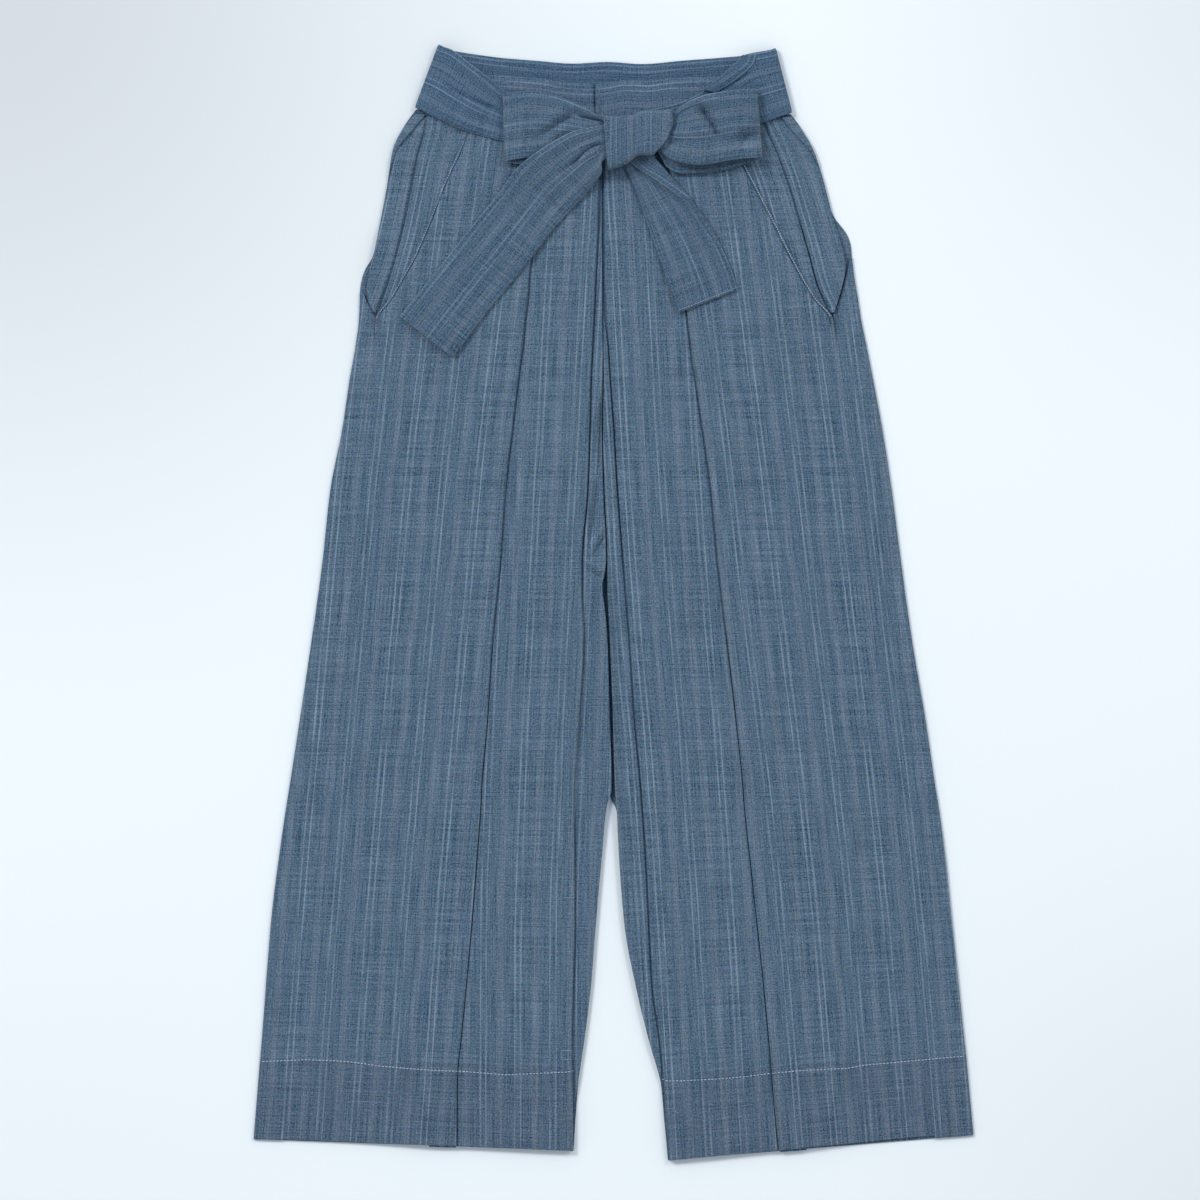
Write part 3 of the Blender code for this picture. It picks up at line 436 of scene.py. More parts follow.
# The leaf inside the side opening is lifted beside the leaf on top of it, more as the room for it
# grows over this range. Its outer edge stands up, reached between these places.
LEAF_LIFT = 1.4
LEAF_ROOM = (1.0, 5.0)
EDGE_LIFT = 2.0
EDGE_LIFT_ROWS = (150.0, 170.0)
# The edge of the leaf is level under the strip and this far past it, and elsewhere for the least
# width. A strip narrower than that isn't made. The rise beside it is at least this wide.
LEAST_STRIP = 0.4
STRIP_MARGIN = 1.2
LEAST_SLOPE = 0.5

BELT_WIDTH = 57.0
BELT_GROUND = 0.75
# Where the strip of a band is this wide, it stands off the band as far as its table says.
STRIP_FULL_WIDTH = 6.0
WAISTBAND_HEIGHT = 48.0
GATHER_WAVES = 2.5
KNOT_SQUARENESS = 0.5
KNOT_GRAIN_SHIFT = 7.4
# The stations of a loop that make its face, before it turns back under itself.
LOOP_FACE = 7
# Tucks of a band start to show where it is this high, and are full this much higher.
TUCK_START = 2.0
TUCK_RANGE = 3.0
# Tucks and creases fade over this share of their path, down to the least share at their ends.
TUCK_TAPER = 0.25
TUCK_END = 0.15
CREASE_LIMITS = (-2.5, 3.5)
# The thickness of a soft edge of the belt, as a share of the whole, from its first column on, and
# the least that it keeps.
EDGE_THINNING = (0.25, 0.8, 1.0, 1.0)
LEAST_THICKNESS = 0.15

# Lines of stitching, as (across, down) places.
HEM_STITCHES = {
    "right": (
        (-299.5, 866), (-262, 864.4), (-229, 865.7), (-196, 870), (-156, 873), (-131, 874),
        (-91, 877), (-38.8, 874.6), (-31, 873.3),
    ),
    "left": (
        (38, 880), (46.5, 882.3), (82, 881), (111, 878.8), (134, 875.8), (160, 873.3),
        (199, 871.6), (213.5, 869), (261, 864.8), (298.5, 861.4),
    ),
}
EDGE_STITCH_COLUMN = 2
EDGE_STITCH_ENDS = (80.0, 233.0)
TAIL_END_STITCHES = ((55.5, 226.5), (104.6, 207.2))
PLEAT_TACK = ((-44.7, 856.5), (-34.8, 856.3), (-34.5, 863.9), (-44.4, 864.2), (-44.7, 857))
HIP_TACK = ((195.5, 303.3), (195.9, 309.2), (200.8, 309.0))
# How large the finer stitches are beside those of the hems.
EDGE_STITCH_SHARE = 0.7
HIP_TACK_SHARE = 0.6
# A stitch is a rod of rings, thinner at both ends and arched in the middle. It is laid on the
# cloth from above. Its sizes are in metres, and the others are shares of the radius.
STITCH_RADIUS = 0.00032
STITCH_END = 0.45
STITCH_ARCH = 0.9
STITCH_SIDES = 6
STITCH_RINGS = 5
RAY_START = 0.1

# The stripes of the warp: a pair of thin pale lines, then a greyish band halfway to the next
# pair. Four pairs make up a repeat. Each has a middle in mm, a width in mm and a strength.
STRIPE_REPEAT = 118.4
PALE_LINES = (
    (5.0, 0.9, 0.8), (9.8, 0.9, 0.7), (34.4, 0.9, 0.9), (39.2, 0.9, 0.85),
    (64.1, 0.9, 0.75), (69.2, 0.9, 0.9), (94.2, 1.0, 0.9), (99.0, 0.9, 0.9),
)
GREY_BANDS = ((22.0, 5.0, 0.75), (51.6, 5.2, 0.85), (81.8, 4.8, 0.75), (111.6, 5.4, 0.7))
BAND_EDGE = 0.8
# The grain map is moved by whole repeats, so that it has no places below 0.
GRAIN_START = (10 * STRIPE_REPEAT * MM, 2.0, 0.0)

# Streaks: how wide across the warp and how long along it, in mm, and the noise values that give
# none and the full streak. First where the pale lines fade, then the dark and the pale slubs.
LINE_FADE = (3.0, 45.0, 0.15, 0.55)
DARK_SLUBS = (12.0, 1.1, 0.66, 0.78)
PALE_SLUBS = (9.0, 0.9, 0.68, 0.80)
DARK_SLUB_SHARE = 0.32
PALE_SLUB_SHARE = 0.45
# Streaks of the yarns: how wide across the warp and how long along it, in mm, and how much their
# full range changes the shade, in grey levels out of 255.
YARNS = (
    (2.4, 16.0, 3.0), (2.4, 200.0, 6.0), (11.0, 70.0, 2.0), (1.0, 50.0, 31.0),
    (60.0, 1.2, 23.0), (60.0, 2.6, 2.0), (2.4, 2.4, 5.0), (1.2, 1.2, 48.0),
)
# This many levels together make the whole relief of the weave.
RELIEF_LEVELS = 60.0
# The furrows of the twisted thread carry painted shade: they are this much darker.
PLY_PAINTED_SHADE = 0.2
# The linear change of one grey level in the middle of the cloth's shades, for each channel.
GREY_LEVEL = (0.0024, 0.0030, 0.0037)
# Each yarn takes the dye a little differently: the size of these specks in mm and their levels.
DYE_SPECKS = (2.4, 3.0)
DYE_LEVELS = (18.0, 11.0, 17.0)
# Painted shade: the same weave is made darker on the belt and on the bow, and only a little darker
# on the waistband, which lies in shade already, so that each piece is as bright as it looks where
# it lies.
BELT_PAINTED_SHADE = (0.70, 0.79, 0.87)
WAISTBAND_PAINTED_SHADE = (0.95, 0.95, 0.99)
BOW_PAINTED_SHADE = (0.81, 0.84, 0.88)
LOOP_LINES = 0.85
KNOT_LINES = 0.55
# Below the stitches of the hem the cloth is double and looks a little darker.
HEM_TONE = (0.94, 0.90, 0.91)
HEM_EDGE = (0.868, 0.872)

FLOOR_SIDE = 12.0
# Patches of painted shade on the floor, standing in for light that falls off towards its corners:
# place, radius and how much darker, as a share.
PAINTED_FLOOR_SHADE_PATCHES = (
    ((-0.56, 0.56), 0.75, 0.30), ((0.56, 0.56), 0.5, 0.14), ((0.56, -0.56), 0.45, 0.085),
    ((-0.56, -0.56), 0.45, 0.03),
)
# Each softbox: its place, its width and height, and its power in watts.
SOFTBOXES = {
    "left_softbox": ((-4.2, 3.6, 4.0), (1.8, 1.8), 274.0),
    "right_softbox": ((4.0, 3.4, 4.0), (1.8, 1.8), 115.0),
}
SKY_COLOUR = (1.0, 0.92, 0.762, 1.0)
CEILING_COLOUR = (0.10, 0.42, 0.96, 1.0)
SKY_STRENGTH = 1.477
# The ceiling is darker than the walls. Heights are those of the direction's upward part.
CEILING_START = 0.35
TINT_START = 0.45
CEILING_FULL = 0.95
CEILING_SHARE = 0.12
SENSOR = 36.0
CAMERA_HEIGHT = 4.0
FARTHEST = 50.0
VIEW_WIDTH = 1.0224
VIEW_CENTRE = (-0.0115, 0.0021)

OPERATORS = (
    "hakama.back_legs", "hakama.side_leaves", "hakama.front_legs", "hakama.waist",
    "hakama.bow", "hakama.stitching", "hakama.stage",
)
DISTANCE = {"subtype": "DISTANCE", "unit": "LENGTH", "precision": 5}
COLOUR = {"size": 4, "min": 0, "max": 1, "subtype": "COLOR"}


def linear_rgb(code):
    """The linear colour of an sRGB hex code, with alpha."""
    values = [int(code[at:at + 2], 16) / 255 for at in (1, 3, 5)]
    return [
        value / 12.92 if value <= 0.04045 else ((value + 0.055) / 1.055) ** 2.4
        for value in values
    ] + [1.0]


class HakamaSizes(bpy.types.PropertyGroup):
    """Sizes of the cloth."""

    leg_cloth: bpy.props.FloatProperty(
        name="Leg cloth", description="Thickness of the cloth of the legs",
        default=0.0006, min=0.0003, max=0.001, **DISTANCE,
    )
    belt_cloth: bpy.props.FloatProperty(
        name="Belt cloth", description="Thickness of the belt, which is folded double",
        default=0.0012, min=0.0006, max=0.0015, **DISTANCE,
    )
    crease: bpy.props.FloatProperty(
        name="Creases", description="How strongly the cloth is creased, as a share",
        default=1.0, min=0.0, max=1.5, subtype="FACTOR",
    )
    stitch: bpy.props.FloatProperty(
        name="Stitch", description="Length of one stitch of the hems",
        default=0.0021, min=0.001, max=0.004, **DISTANCE,
    )
    stitch_pitch: bpy.props.FloatProperty(
        name="Stitch pitch", description="Distance from one stitch of the hems to the next",
        default=0.003, min=0.002, max=0.006, **DISTANCE,
    )


class HakamaColours(bpy.types.PropertyGroup):
    """Colours of the yarns, the thread and the floor."""

    teal: bpy.props.FloatVectorProperty(
        name="Teal yarn", description="Ground of the cloth, dyed in indigo",
        default=linear_rgb("#4b6175"), **COLOUR,
    )
    lavender: bpy.props.FloatVectorProperty(
        name="Grey yarn", description="Greyish bands of the warp",
        default=linear_rgb("#5a6c7e"), **COLOUR,
    )
    navy: bpy.props.FloatVectorProperty(
        name="Navy yarn", description="Darkest yarns of warp and weft",
        default=linear_rgb("#324b68"), **COLOUR,
    )
    pale: bpy.props.FloatVectorProperty(
        name="Pale yarn", description="Thin pale lines of the warp",
        default=linear_rgb("#7c8ea0"), **COLOUR,
    )
    thread: bpy.props.FloatVectorProperty(
        name="Sewing thread", description="Thread of the hems and of the left slanted edge",
        default=linear_rgb("#b0c2d8"), **COLOUR,
    )
    blue_thread: bpy.props.FloatVectorProperty(
        name="Blue thread", description="Thread of the right slanted edge, the tail and the tacks",
        default=linear_rgb("#8ba3be"), **COLOUR,
    )
    floor: bpy.props.FloatVectorProperty(
        name="Floor", description="Plain pale floor", default=linear_rgb("#e9f0f4"), **COLOUR,
    )


def mix(start, end, share):
    return start + (end - start) * share


def clamp(value):
    return np.clip(value, 0.0, 1.0)


def smooth_step(value, start=0.0, end=1.0):
    """From 0 at the start to 1 at the end, and level beyond them."""
    value = clamp((value - start) / (end - start))
    return value * value * (3 - 2 * value)


def ease(start, end, leaving, arriving, length, share):
    """A place on the smooth curve between two points, from its slopes at both."""
    rest = 1 - share
    return (
        start * (1 + 2 * share) * rest ** 2
        + end * (1 + 2 * rest) * share ** 2
        + length * share * rest * (leaving * rest - arriving * share)
    )


def smooth_line(places, values, at):
    """Values at these places of a smooth curve through the points. It never overshoots them."""
    places, values, at = (np.asarray(part, float) for part in (places, values, at))
    step = np.diff(places)
    rate = np.diff(values) / step
    rising = rate[:-1] * rate[1:] > 0
    total = np.where(rising, rate[:-1] + rate[1:], 1.0)
    inside = np.where(rising, 2 * rate[:-1] * rate[1:] / total, 0.0)
    tangent = np.concatenate([rate[:1], inside, rate[-1:]])
    index = np.clip(np.searchsorted(places, at) - 1, 0, len(places) - 2)
    share = clamp((at - places[index]) / step[index])
    return ease(
        values[index], values[index + 1], tangent[index], tangent[index + 1], step[index], share
    )


def columns_at(columns, table, downs):
    """Each column of a table as a smooth curve over these values of 'down'."""
    table = np.array(table, float)
    return {
        name: smooth_line(table[:, 0], table[:, index], downs)
        for index, name in enumerate(columns)
    }


def down_steps(table):
    first, last = table[0][0], table[-1][0]
    return np.linspace(first, last, round((last - first) / ROW_STEP) + 1)


def front_steps():
    """The rows of a front. They lie closer where a small fold crosses the strip."""
    coarse = down_steps(FRONT)
    first, last = FINE_STRETCH
    fine = np.arange(first, last, FINE_STEP)
    return np.concatenate([coarse[coarse < first - FINE_STEP / 2], fine, coarse[coarse > last]])


def read_line(line, across):
    line = np.array(sorted(line), float)
    return np.interp(across, line[:, 0], line[:, 1])


def belt_line():
    """The lower edge of the belt where it lies on the ground, from side to side."""
    first = BAND_COLUMNS.index("lower_across")
    sides = [row[first:first + 2] for row in BELT_RIGHT[:3] + BELT_LEFT[:3]]
    return [row[2:] for row in BELT_BACK] + sides


def waistband_line():
    """The lower edge of the front waistband."""
    bands = WAISTBAND_RIGHT[:-1] + WAISTBAND_LEFT
    return [(across, top + WAISTBAND_HEIGHT) for across, top, _ in bands]


def drop_below_belt(points):
    """Moves the places of a leaf that the belt would cover down to the belt's lower edge."""
    below = read_line(belt_line(), points[..., 0]) + SEAM_DROP
    points[..., 1] = np.maximum(points[..., 1], below)


def fit_rows(points, outer, inner, top_line, hem):
    """Bends the rows of a leg between its outer and its inner line: the first row follows the band
    above it, and the last follows the hem."""
    across, down = points[..., 0], points[..., 1]
    share = clamp((across - outer[:, None]) / (inner - outer)[:, None])
    top = down[0, 0]
    top_part = clamp((TOP_BLEND_END - down) / (TOP_BLEND_END - top))
    hem_part = clamp((down - HEM_BLEND_START) / (LAST_ROW - HEM_BLEND_START))
    top_shift = read_line(top_line, across) + SEAM_DROP - top
    hem_shift = mix(*hem, share) - LAST_ROW
    points[..., 1] = down + top_shift * top_part + hem_shift * hem_part


def slope(low, high):
    """The height along a gentle slope, as a function of the share of the way."""
    return lambda share: mix(low, high, smooth_step(share))


def run(start, end, count, height):
    """(across, height) columns along a layer. Height is a value, or a function of the share of the
    way."""
    return [
        (mix(start, end, share), height(share) if callable(height) else height)
        for share in np.linspace(0.0, 1.0, count)
    ]


def turn_under(place, upper, inward):
    """(across, height) columns round the fold at this place, from the upper layer to the next. The
    fold points 'inward', which is 1 towards a larger 'across'."""
    angles = np.linspace(math.pi / 2, -math.pi / 2, ROLL_COLUMNS + 2)[1:-1]
    return [
        (
            place + inward * FOLD_RADIUS * (math.cos(angle) - 1),
            upper - FOLD_RADIUS + FOLD_RADIUS * math.sin(angle),
        )
        for angle in angles
    ]


def pleat(fold, hidden, end, inward):
    """(across, height) columns of a pleat: round its fold, back to its hidden fold, and forward
    again over the layer below to this end."""
    hidden_start = hidden + inward * FOLD_RADIUS
    return [
        *turn_under(fold, TOP_LAYER, inward),
        *run(fold - inward * FOLD_RADIUS, hidden_start, HIDDEN_COLUMNS, SECOND_LAYER),
        *turn_under(hidden, SECOND_LAYER, -inward),
        *run(hidden_start, end, UNDER_COLUMNS, FIRST_LAYER),
    ]


def arc_lengths(points):
    """Lengths along axis 1 of a grid, from its first column."""
    steps = np.linalg.norm(np.diff(points, axis=1), axis=2)
    return np.concatenate([np.zeros((len(points), 1)), np.cumsum(steps, axis=1)], axis=1)


def grid_of(sections, downs):
    """A grid of (across, down, height) points from (across, height) columns over 'downs'."""
    across, height = (
        np.stack([np.broadcast_to(column[part], downs.shape) for column in sections], axis=1)
        for part in (0, 1)
    )
    return np.stack([across, np.broadcast_to(downs[:, None], across.shape), height], axis=2)


def front_grid(side):
    """The front of a leg, from the side to the inside. It turns under at the side pleat and again
    at the centre pleat."""
    inward = INWARD[side]
    downs = front_steps()
    lean = columns_at(GRAIN_COLUMNS, GRAIN, downs)
    row = columns_at(FRONT_COLUMNS, FRONT, downs)
    edge_height, inner = row["edge_height"], row[f"{side}_inner"]
    fold, centre = (
        row[f"{side}_{name}"] - inward * FOLD_SET_BACK[side] for name in ("fold", "centre")
    )
    hidden = fold - inward * PLEAT_DEPTH
    centre_hidden = centre - inward * CENTRE_PLEAT_DEPTH
    slope_end = hidden - inward * FOLD_CLEARANCE
    rise_end = centre_hidden - inward * FOLD_CLEARANCE
    lower = smooth_step(downs, *LOWER_HALF)
    floor, width, rise = (mix(upper, low, lower) for upper, low in zip(GROOVE, LOW_GROOVE))
    groove_top = FIRST_LAYER + rise
    rise_start = fold + inward * floor
    groove_end = rise_start + inward * width

    lifted = clamp((edge_height - FULL_LIFT) / (TOP_LAYER - FULL_LIFT))
    settled = mix((edge_height + FIRST_LAYER) / 2, TOP_LAYER, lifted)
    sewn = clamp((TOP_LAYER - edge_height) / (TOP_LAYER - FIRST_LAYER))
    edge = row[f"{side}_edge"] - inward * SEAM_CLOSING * sewn
    hem_end = edge + inward * EDGE_HEM
    hem_share = EDGE_HEM / np.abs(slope_end - edge)

    def outer_height(share):
        near = mix(edge_height, settled, np.minimum(share / NEAR_EDGE, 1.0))
        risen = np.maximum(0.0, (share - NEAR_EDGE) / (1 - NEAR_EDGE)) ** SLOPE_POWER
        return mix(near, TOP_LAYER, risen)

    def hem_height(share):
        away = (share * EDGE_HEM - EDGE_GROOVE_AT) / EDGE_GROOVE_WIDTH
        return outer_height(share * hem_share) - EDGE_GROOVE[side] * lifted * math.exp(-away ** 2)

    def beyond_hem(share):
        return outer_height(mix(hem_share, 1.0, share))

    curl = columns_at(SLIT_COLUMNS, SLIT, downs)["rise"]
    lip = inner + inward * SLIT_LEAN * curl
    strip_width = inward * (lip - centre)
    opened = smooth_step(strip_width, *STRIP_OPENING)
    plateau = FIRST_LAYER + opened * columns_at(STRIP_COLUMNS, STRIP_RISES, downs)[side]
    floor_end = mix(lip, centre + inward * STRIP_FLOOR, opened)
    rise_top = mix(lip, centre + inward * (STRIP_FLOOR + STRIP_GROOVE), opened)
    lip_start = np.where(
        strip_width > LIP_WIDTH + LIP_ROOM, lip - inward * LIP_WIDTH, mix(rise_top, lip, 0.5)
    )

    sections = run(edge, hem_end, HEM_COLUMNS, hem_height)
    sections += run(hem_end, slope_end, PANEL_COLUMNS, beyond_hem)[1:]
    sections += run(slope_end, fold - inward * FOLD_RADIUS, LEVEL_COLUMNS, TOP_LAYER)[1:]
    first_fold = len(sections)
    sections += pleat(fold, hidden, rise_start, inward)
    middle_start = len(sections) - 1
    sections += run(rise_start, groove_end, SLOPE_COLUMNS, slope(FIRST_LAYER, groove_top))[1:]
    sections += run(groove_end, rise_end, PANEL_COLUMNS, slope(groove_top, TOP_LAYER))[1:]
    sections += run(rise_end, centre - inward * FOLD_RADIUS, RISEN_COLUMNS, TOP_LAYER)[1:]
    sections += pleat(centre, centre_hidden, floor_end, inward)
    sections += run(floor_end, rise_top, SLOPE_COLUMNS, slope(FIRST_LAYER, plateau))[1:]
    sections += run(rise_top, lip_start, SLOPE_COLUMNS, plateau)[1:]
    sections += run(lip_start, lip, LIP_COLUMNS, slope(plateau, plateau + curl))[1:]

    points = grid_of(sections, downs)
    arcs = arc_lengths(points)
    outer, middle = (
        arcs - arcs[:, [start]] + inward * (place - lean[f"{side}_{panel}"])[:, None]
        for start, place, panel in (
            (first_fold, fold, "outer"), (middle_start, rise_start, "middle"),
        )
    )
    in_middle = clamp((np.arange(arcs.shape[1]) - first_fold) / (middle_start - first_fold))
    grain = np.stack([mix(outer, middle, in_middle), points[..., 1]], axis=2)
    fit_rows(points, edge, inner, waistband_line(), HEM[side])
    peek = HEM_PEEK[side] * smooth_step(downs, HEM_PEEK_FROM, LAST_ROW)
    points[:, first_fold + ROLL_COLUMNS:middle_start, 1] += peek[:, None]
    return points, grain, None


def edge_path(side):
    """The line of stitches beside the slanted edge of a front."""
    first, last = EDGE_STITCH_ENDS
    line = front_grid(side)[0][:, EDGE_STITCH_COLUMN]
    return [(across, down) for across, down, _ in line if first < down < last]


def back_grid(side):
    """The back of a leg. It lies on the ground, and below the side opening it turns up over the
    side to the side seam. Its grain runs on from the front's."""
    inward = INWARD[side]
    downs = down_steps(BACK[side])
    row = columns_at(BACK_COLUMNS, BACK[side], downs)
    front = columns_at(FRONT_COLUMNS, FRONT, downs)
    lean = columns_at(GRAIN_COLUMNS, GRAIN, downs)[f"{side}_outer"]
    meeting = (front["right_inner"] + front["left_inner"]) / 2 - BACK_SEAM_SHIFT
    inner = mix(meeting - inward * LAYER_GAP / 2, row["inner"], smooth_step(downs, *CROTCH))
    outer, wrap = row["side"], row["wrap"]
    seam = outer + inward * np.maximum(wrap, LEAST_WRAP)
    ground_start = outer + inward * FOLD_RADIUS
    sections = run(seam, ground_start, WRAP_COLUMNS, FIRST_LAYER)
    sections += turn_under(outer, FIRST_LAYER, -inward)
    turned = len(sections)
    sections += run(ground_start, inner, BACK_PANEL_COLUMNS, GROUND_LAYER)
    points = grid_of(sections, downs)
    grain_across = inward * (seam - lean)[:, None] - arc_lengths(points)
    grain = np.stack([grain_across, points[..., 1]], axis=2)
    fit_rows(points, outer, inner, belt_line(), HEM[side])
    holes = np.zeros(points.shape[:2], bool)
    holes[wrap < LEAST_WRAP, :turned - 2] = True
    return points, grain, holes


def leaf_grid(sections, downs, lean):
    """A leaf of the side opening. Its grain runs along the line 'lean'."""
    points = grid_of(sections, downs)
    grain = np.stack([points[..., 0] - lean[:, None], points[..., 1]], axis=2)
    return points, grain, None


def back_leaf_grids(side):
    """The leaf of cloth inside the side opening, and the strip of its top corner turned over."""
    inward = INWARD[side]
    downs = down_steps(BACK_LEAF[side])
    row = columns_at(BACK_LEAF_COLUMNS, BACK_LEAF[side], downs)
    lean = columns_at(FRONT_LEAF_COLUMNS, FRONT_LEAF[side], downs)["outer"]
    folded = row["strip"] > LEAST_STRIP
    start = row["outer"] + inward * np.where(folded, row["strip"] + STRIP_MARGIN, LEAST_STRIP)
    floor, width, _ = GROOVE
    top = lean - inward * (floor + width)
    room = inward * (top - start)
    top = np.where(room > LEAST_SLOPE, top, start + inward * LEAST_SLOPE)
    foot = top + inward * width
    raised = FIRST_LAYER + LEAF_LIFT * smooth_step(room, *LEAF_ROOM)
    standing = FIRST_LAYER + EDGE_LIFT * smooth_step(downs, *EDGE_LIFT_ROWS)
    edge_count, rise_count, side_count, rest_count = BACK_LEAF_RUNS
    sections = run(row["outer"], start, edge_count, standing)
    sections += run(start, top, rise_count, slope(standing, raised))[1:]
    sections += run(top, foot, side_count, slope(raised, FIRST_LAYER))[1:]
    sections += run(foot, row["inner"], rest_count, FIRST_LAYER)[1:]
    leaf = leaf_grid(sections, downs, lean)
    drop_below_belt(leaf[0])

    downs = downs[folded]
    row = columns_at(BACK_LEAF_COLUMNS, BACK_LEAF[side], downs)
    outer = row["outer"]
    free_edge = outer + inward * row["strip"]
    sections = run(free_edge, outer + inward * FOLD_RADIUS, HIDDEN_COLUMNS, SECOND_LAYER)
    sections += turn_under(outer, SECOND_LAYER, -inward)
    points = grid_of(sections, downs)
    drop_below_belt(points)
    grain = np.stack([-arc_lengths(points), points[..., 1]], axis=2)
    return [leaf, (points, grain, None)]


def front_leaf_grids(side):
    """The leaf of cloth along the slanted edge of the front."""
    downs = down_steps(FRONT_LEAF[side])
    row = columns_at(FRONT_LEAF_COLUMNS, FRONT_LEAF[side], downs)
    sections = run(row["outer"], row["inner"], LEAF_COLUMNS, SECOND_LAYER)
    return [leaf_grid(sections, downs, row["outer"])]


def curve_through(stations, steps):
    """Points of a smooth curve through these stations, each an array of points. It is even where
    the stations are uneven, so it doesn't loop at a tight turn."""
    stations = np.asarray(stations, float)
    gaps = np.linalg.norm(np.diff(stations, axis=0), axis=2).mean(axis=1)
    lengths = np.sqrt(np.maximum(gaps, 1e-3))[:, None, None]
    slopes = np.diff(stations, axis=0) / lengths
    before, after = lengths[:-1], lengths[1:]
    inside = (slopes[:-1] * after + slopes[1:] * before) / (before + after)
    tangents = np.concatenate([slopes[:1], inside, slopes[-1:]])
    shares = (np.arange(steps) / steps)[:, None, None]
    spans = [
        ease(*stations[index:index + 2], *tangents[index:index + 2], length, shares)
        for index, length in enumerate(lengths)
    ]
    return np.concatenate([*spans, stations[-1:]])


def tuck_lift(points, path, width, rise):
    """How far a tuck along this path lifts the cloth. It is tapered at both ends."""
    spots = np.array(path, float)
    reached = 0.0
    whole = np.linalg.norm(np.diff(spots, axis=0), axis=1).sum()
    nearest = np.full(points.shape[:2], np.inf)
    share = np.zeros(points.shape[:2])
    for start, end in zip(spots, spots[1:]):
        way = end - start
        length = math.hypot(*way)
        along = clamp(((points[..., :2] - start) @ way) / length ** 2)
        away = np.linalg.norm(points[..., :2] - start - along[..., None] * way, axis=2)
        share = np.where(away < nearest, (reached + along * length) / whole, share)
        nearest = np.minimum(nearest, away)
        reached += length
    taper = smooth_step(np.minimum(share, 1 - share), 0.0, TUCK_TAPER)
    return rise * np.exp(-(nearest / width) ** 2) * np.maximum(taper, TUCK_END)


def strip_grid(edge, free_edge, middle, grain_shift):
    """The strip that turns over a band, from its free edge to the edge of the band and round it."""
    reach = np.linalg.norm(edge[:, :2] - free_edge[:, :2], axis=1)
    rise = free_edge[:, 2] * smooth_step(reach, 0.0, STRIP_FULL_WIDTH)
    free_height = edge[:, 2] + np.maximum(rise, BELT_GROUND)
    sections = []
    for share in np.linspace(0, 1, SLOPE_COLUMNS):
        spot = mix(free_edge, edge, share)
        spot[:, 2] = mix(free_height, edge[:, 2] + rise, share)
        sections.append(spot)
    away = (edge[:, :2] - free_edge[:, :2]) / np.maximum(reach, 1e-6)[:, None]
    for angle in np.linspace(math.pi / 2, -math.pi / 2, ROLL_COLUMNS + 2)[1:]:
        spot = edge.copy()
        spot[:, 2] += rise / 2 * (1 + math.sin(angle))
        spot[:, :2] += away * (rise / 2)[:, None] * math.cos(angle)
        sections.append(spot)
    points = np.stack(sections, axis=1)
    across = arc_lengths(points)
    grain = np.stack([across + grain_shift, np.broadcast_to(middle, across.shape)], axis=2)
    return points, grain, None


def band_grids(table, grain_shift, tucks=(), face=None, strip=(), strip_first=0):
    """A band through stations. The shift moves its stripes across it. Tucks run through its first
    stations, up to the end of its face. A strip turns its upper edge over the band, from this
    station on."""
    shares = np.linspace(0, 1, BAND_STRIPS + 1)
    stations = []
    for values in table:
        row = dict.fromkeys(BAND_COLUMNS, 0.0)
        row.update(zip(BAND_COLUMNS, values))
        edges = [
            mix(row[f"upper_{part}"], row[f"lower_{part}"], shares)
            for part in ("across", "down", "height")
        ]
        bulge = row["crown"] * 4 * shares * (1 - shares)
        crease = row["gather"] * np.sin(2 * math.pi * GATHER_WAVES * shares)
        edges[2] += bulge + crease
        stations.append(np.stack(edges, axis=1))
    points = curve_through(stations, BAND_STEPS)
    points[..., 2] = np.maximum(points[..., 2], BELT_GROUND)
    length = arc_lengths(points.transpose(1, 0, 2)).T
    lift = np.zeros(length.shape)
    last_row = len(points) if face is None else face * BAND_STEPS
    for path, wide, rise in tucks:
        lift[:last_row] += tuck_lift(points[:last_row], path, wide, rise)
    points[..., 2] += lift * clamp((points[..., 2] - TUCK_START) / TUCK_RANGE)
    middle = length[:, [length.shape[1] // 2]]
    along, across = np.broadcast_arrays(middle, shares * BELT_WIDTH + grain_shift)
    grids = [(points, np.stack([across, along], axis=2), None)]
    if strip:
        first = strip_first * BAND_STEPS
        last = first + (len(strip) - 1) * BAND_STEPS + 1
        free_edge = curve_through([[spot] for spot in strip], BAND_STEPS)[:, 0]
        grids.append(strip_grid(points[first:last, 0], free_edge, middle[first:last], grain_shift))
    return grids


def waistband_grids(table, grain_shift):
    """One half of the front waistband, along its length."""
    rows = np.array(table, float)
    count = round(abs(rows[-1, 0] - rows[0, 0]) / WAISTBAND_STEP) + 1
    across = np.linspace(rows[0, 0], rows[-1, 0], count)
    top, height = (smooth_line(rows[:, 0], rows[:, part], across)[:, None] for part in (1, 2))
    down = np.linspace(0, 1, LEAF_COLUMNS)[None, :] * WAISTBAND_HEIGHT
    points = np.stack(np.broadcast_arrays(across[:, None], top + down, height), axis=2)
    grain = np.stack(np.broadcast_arrays(down + grain_shift, across[:, None]), axis=2)
    return [(points, grain, None)]


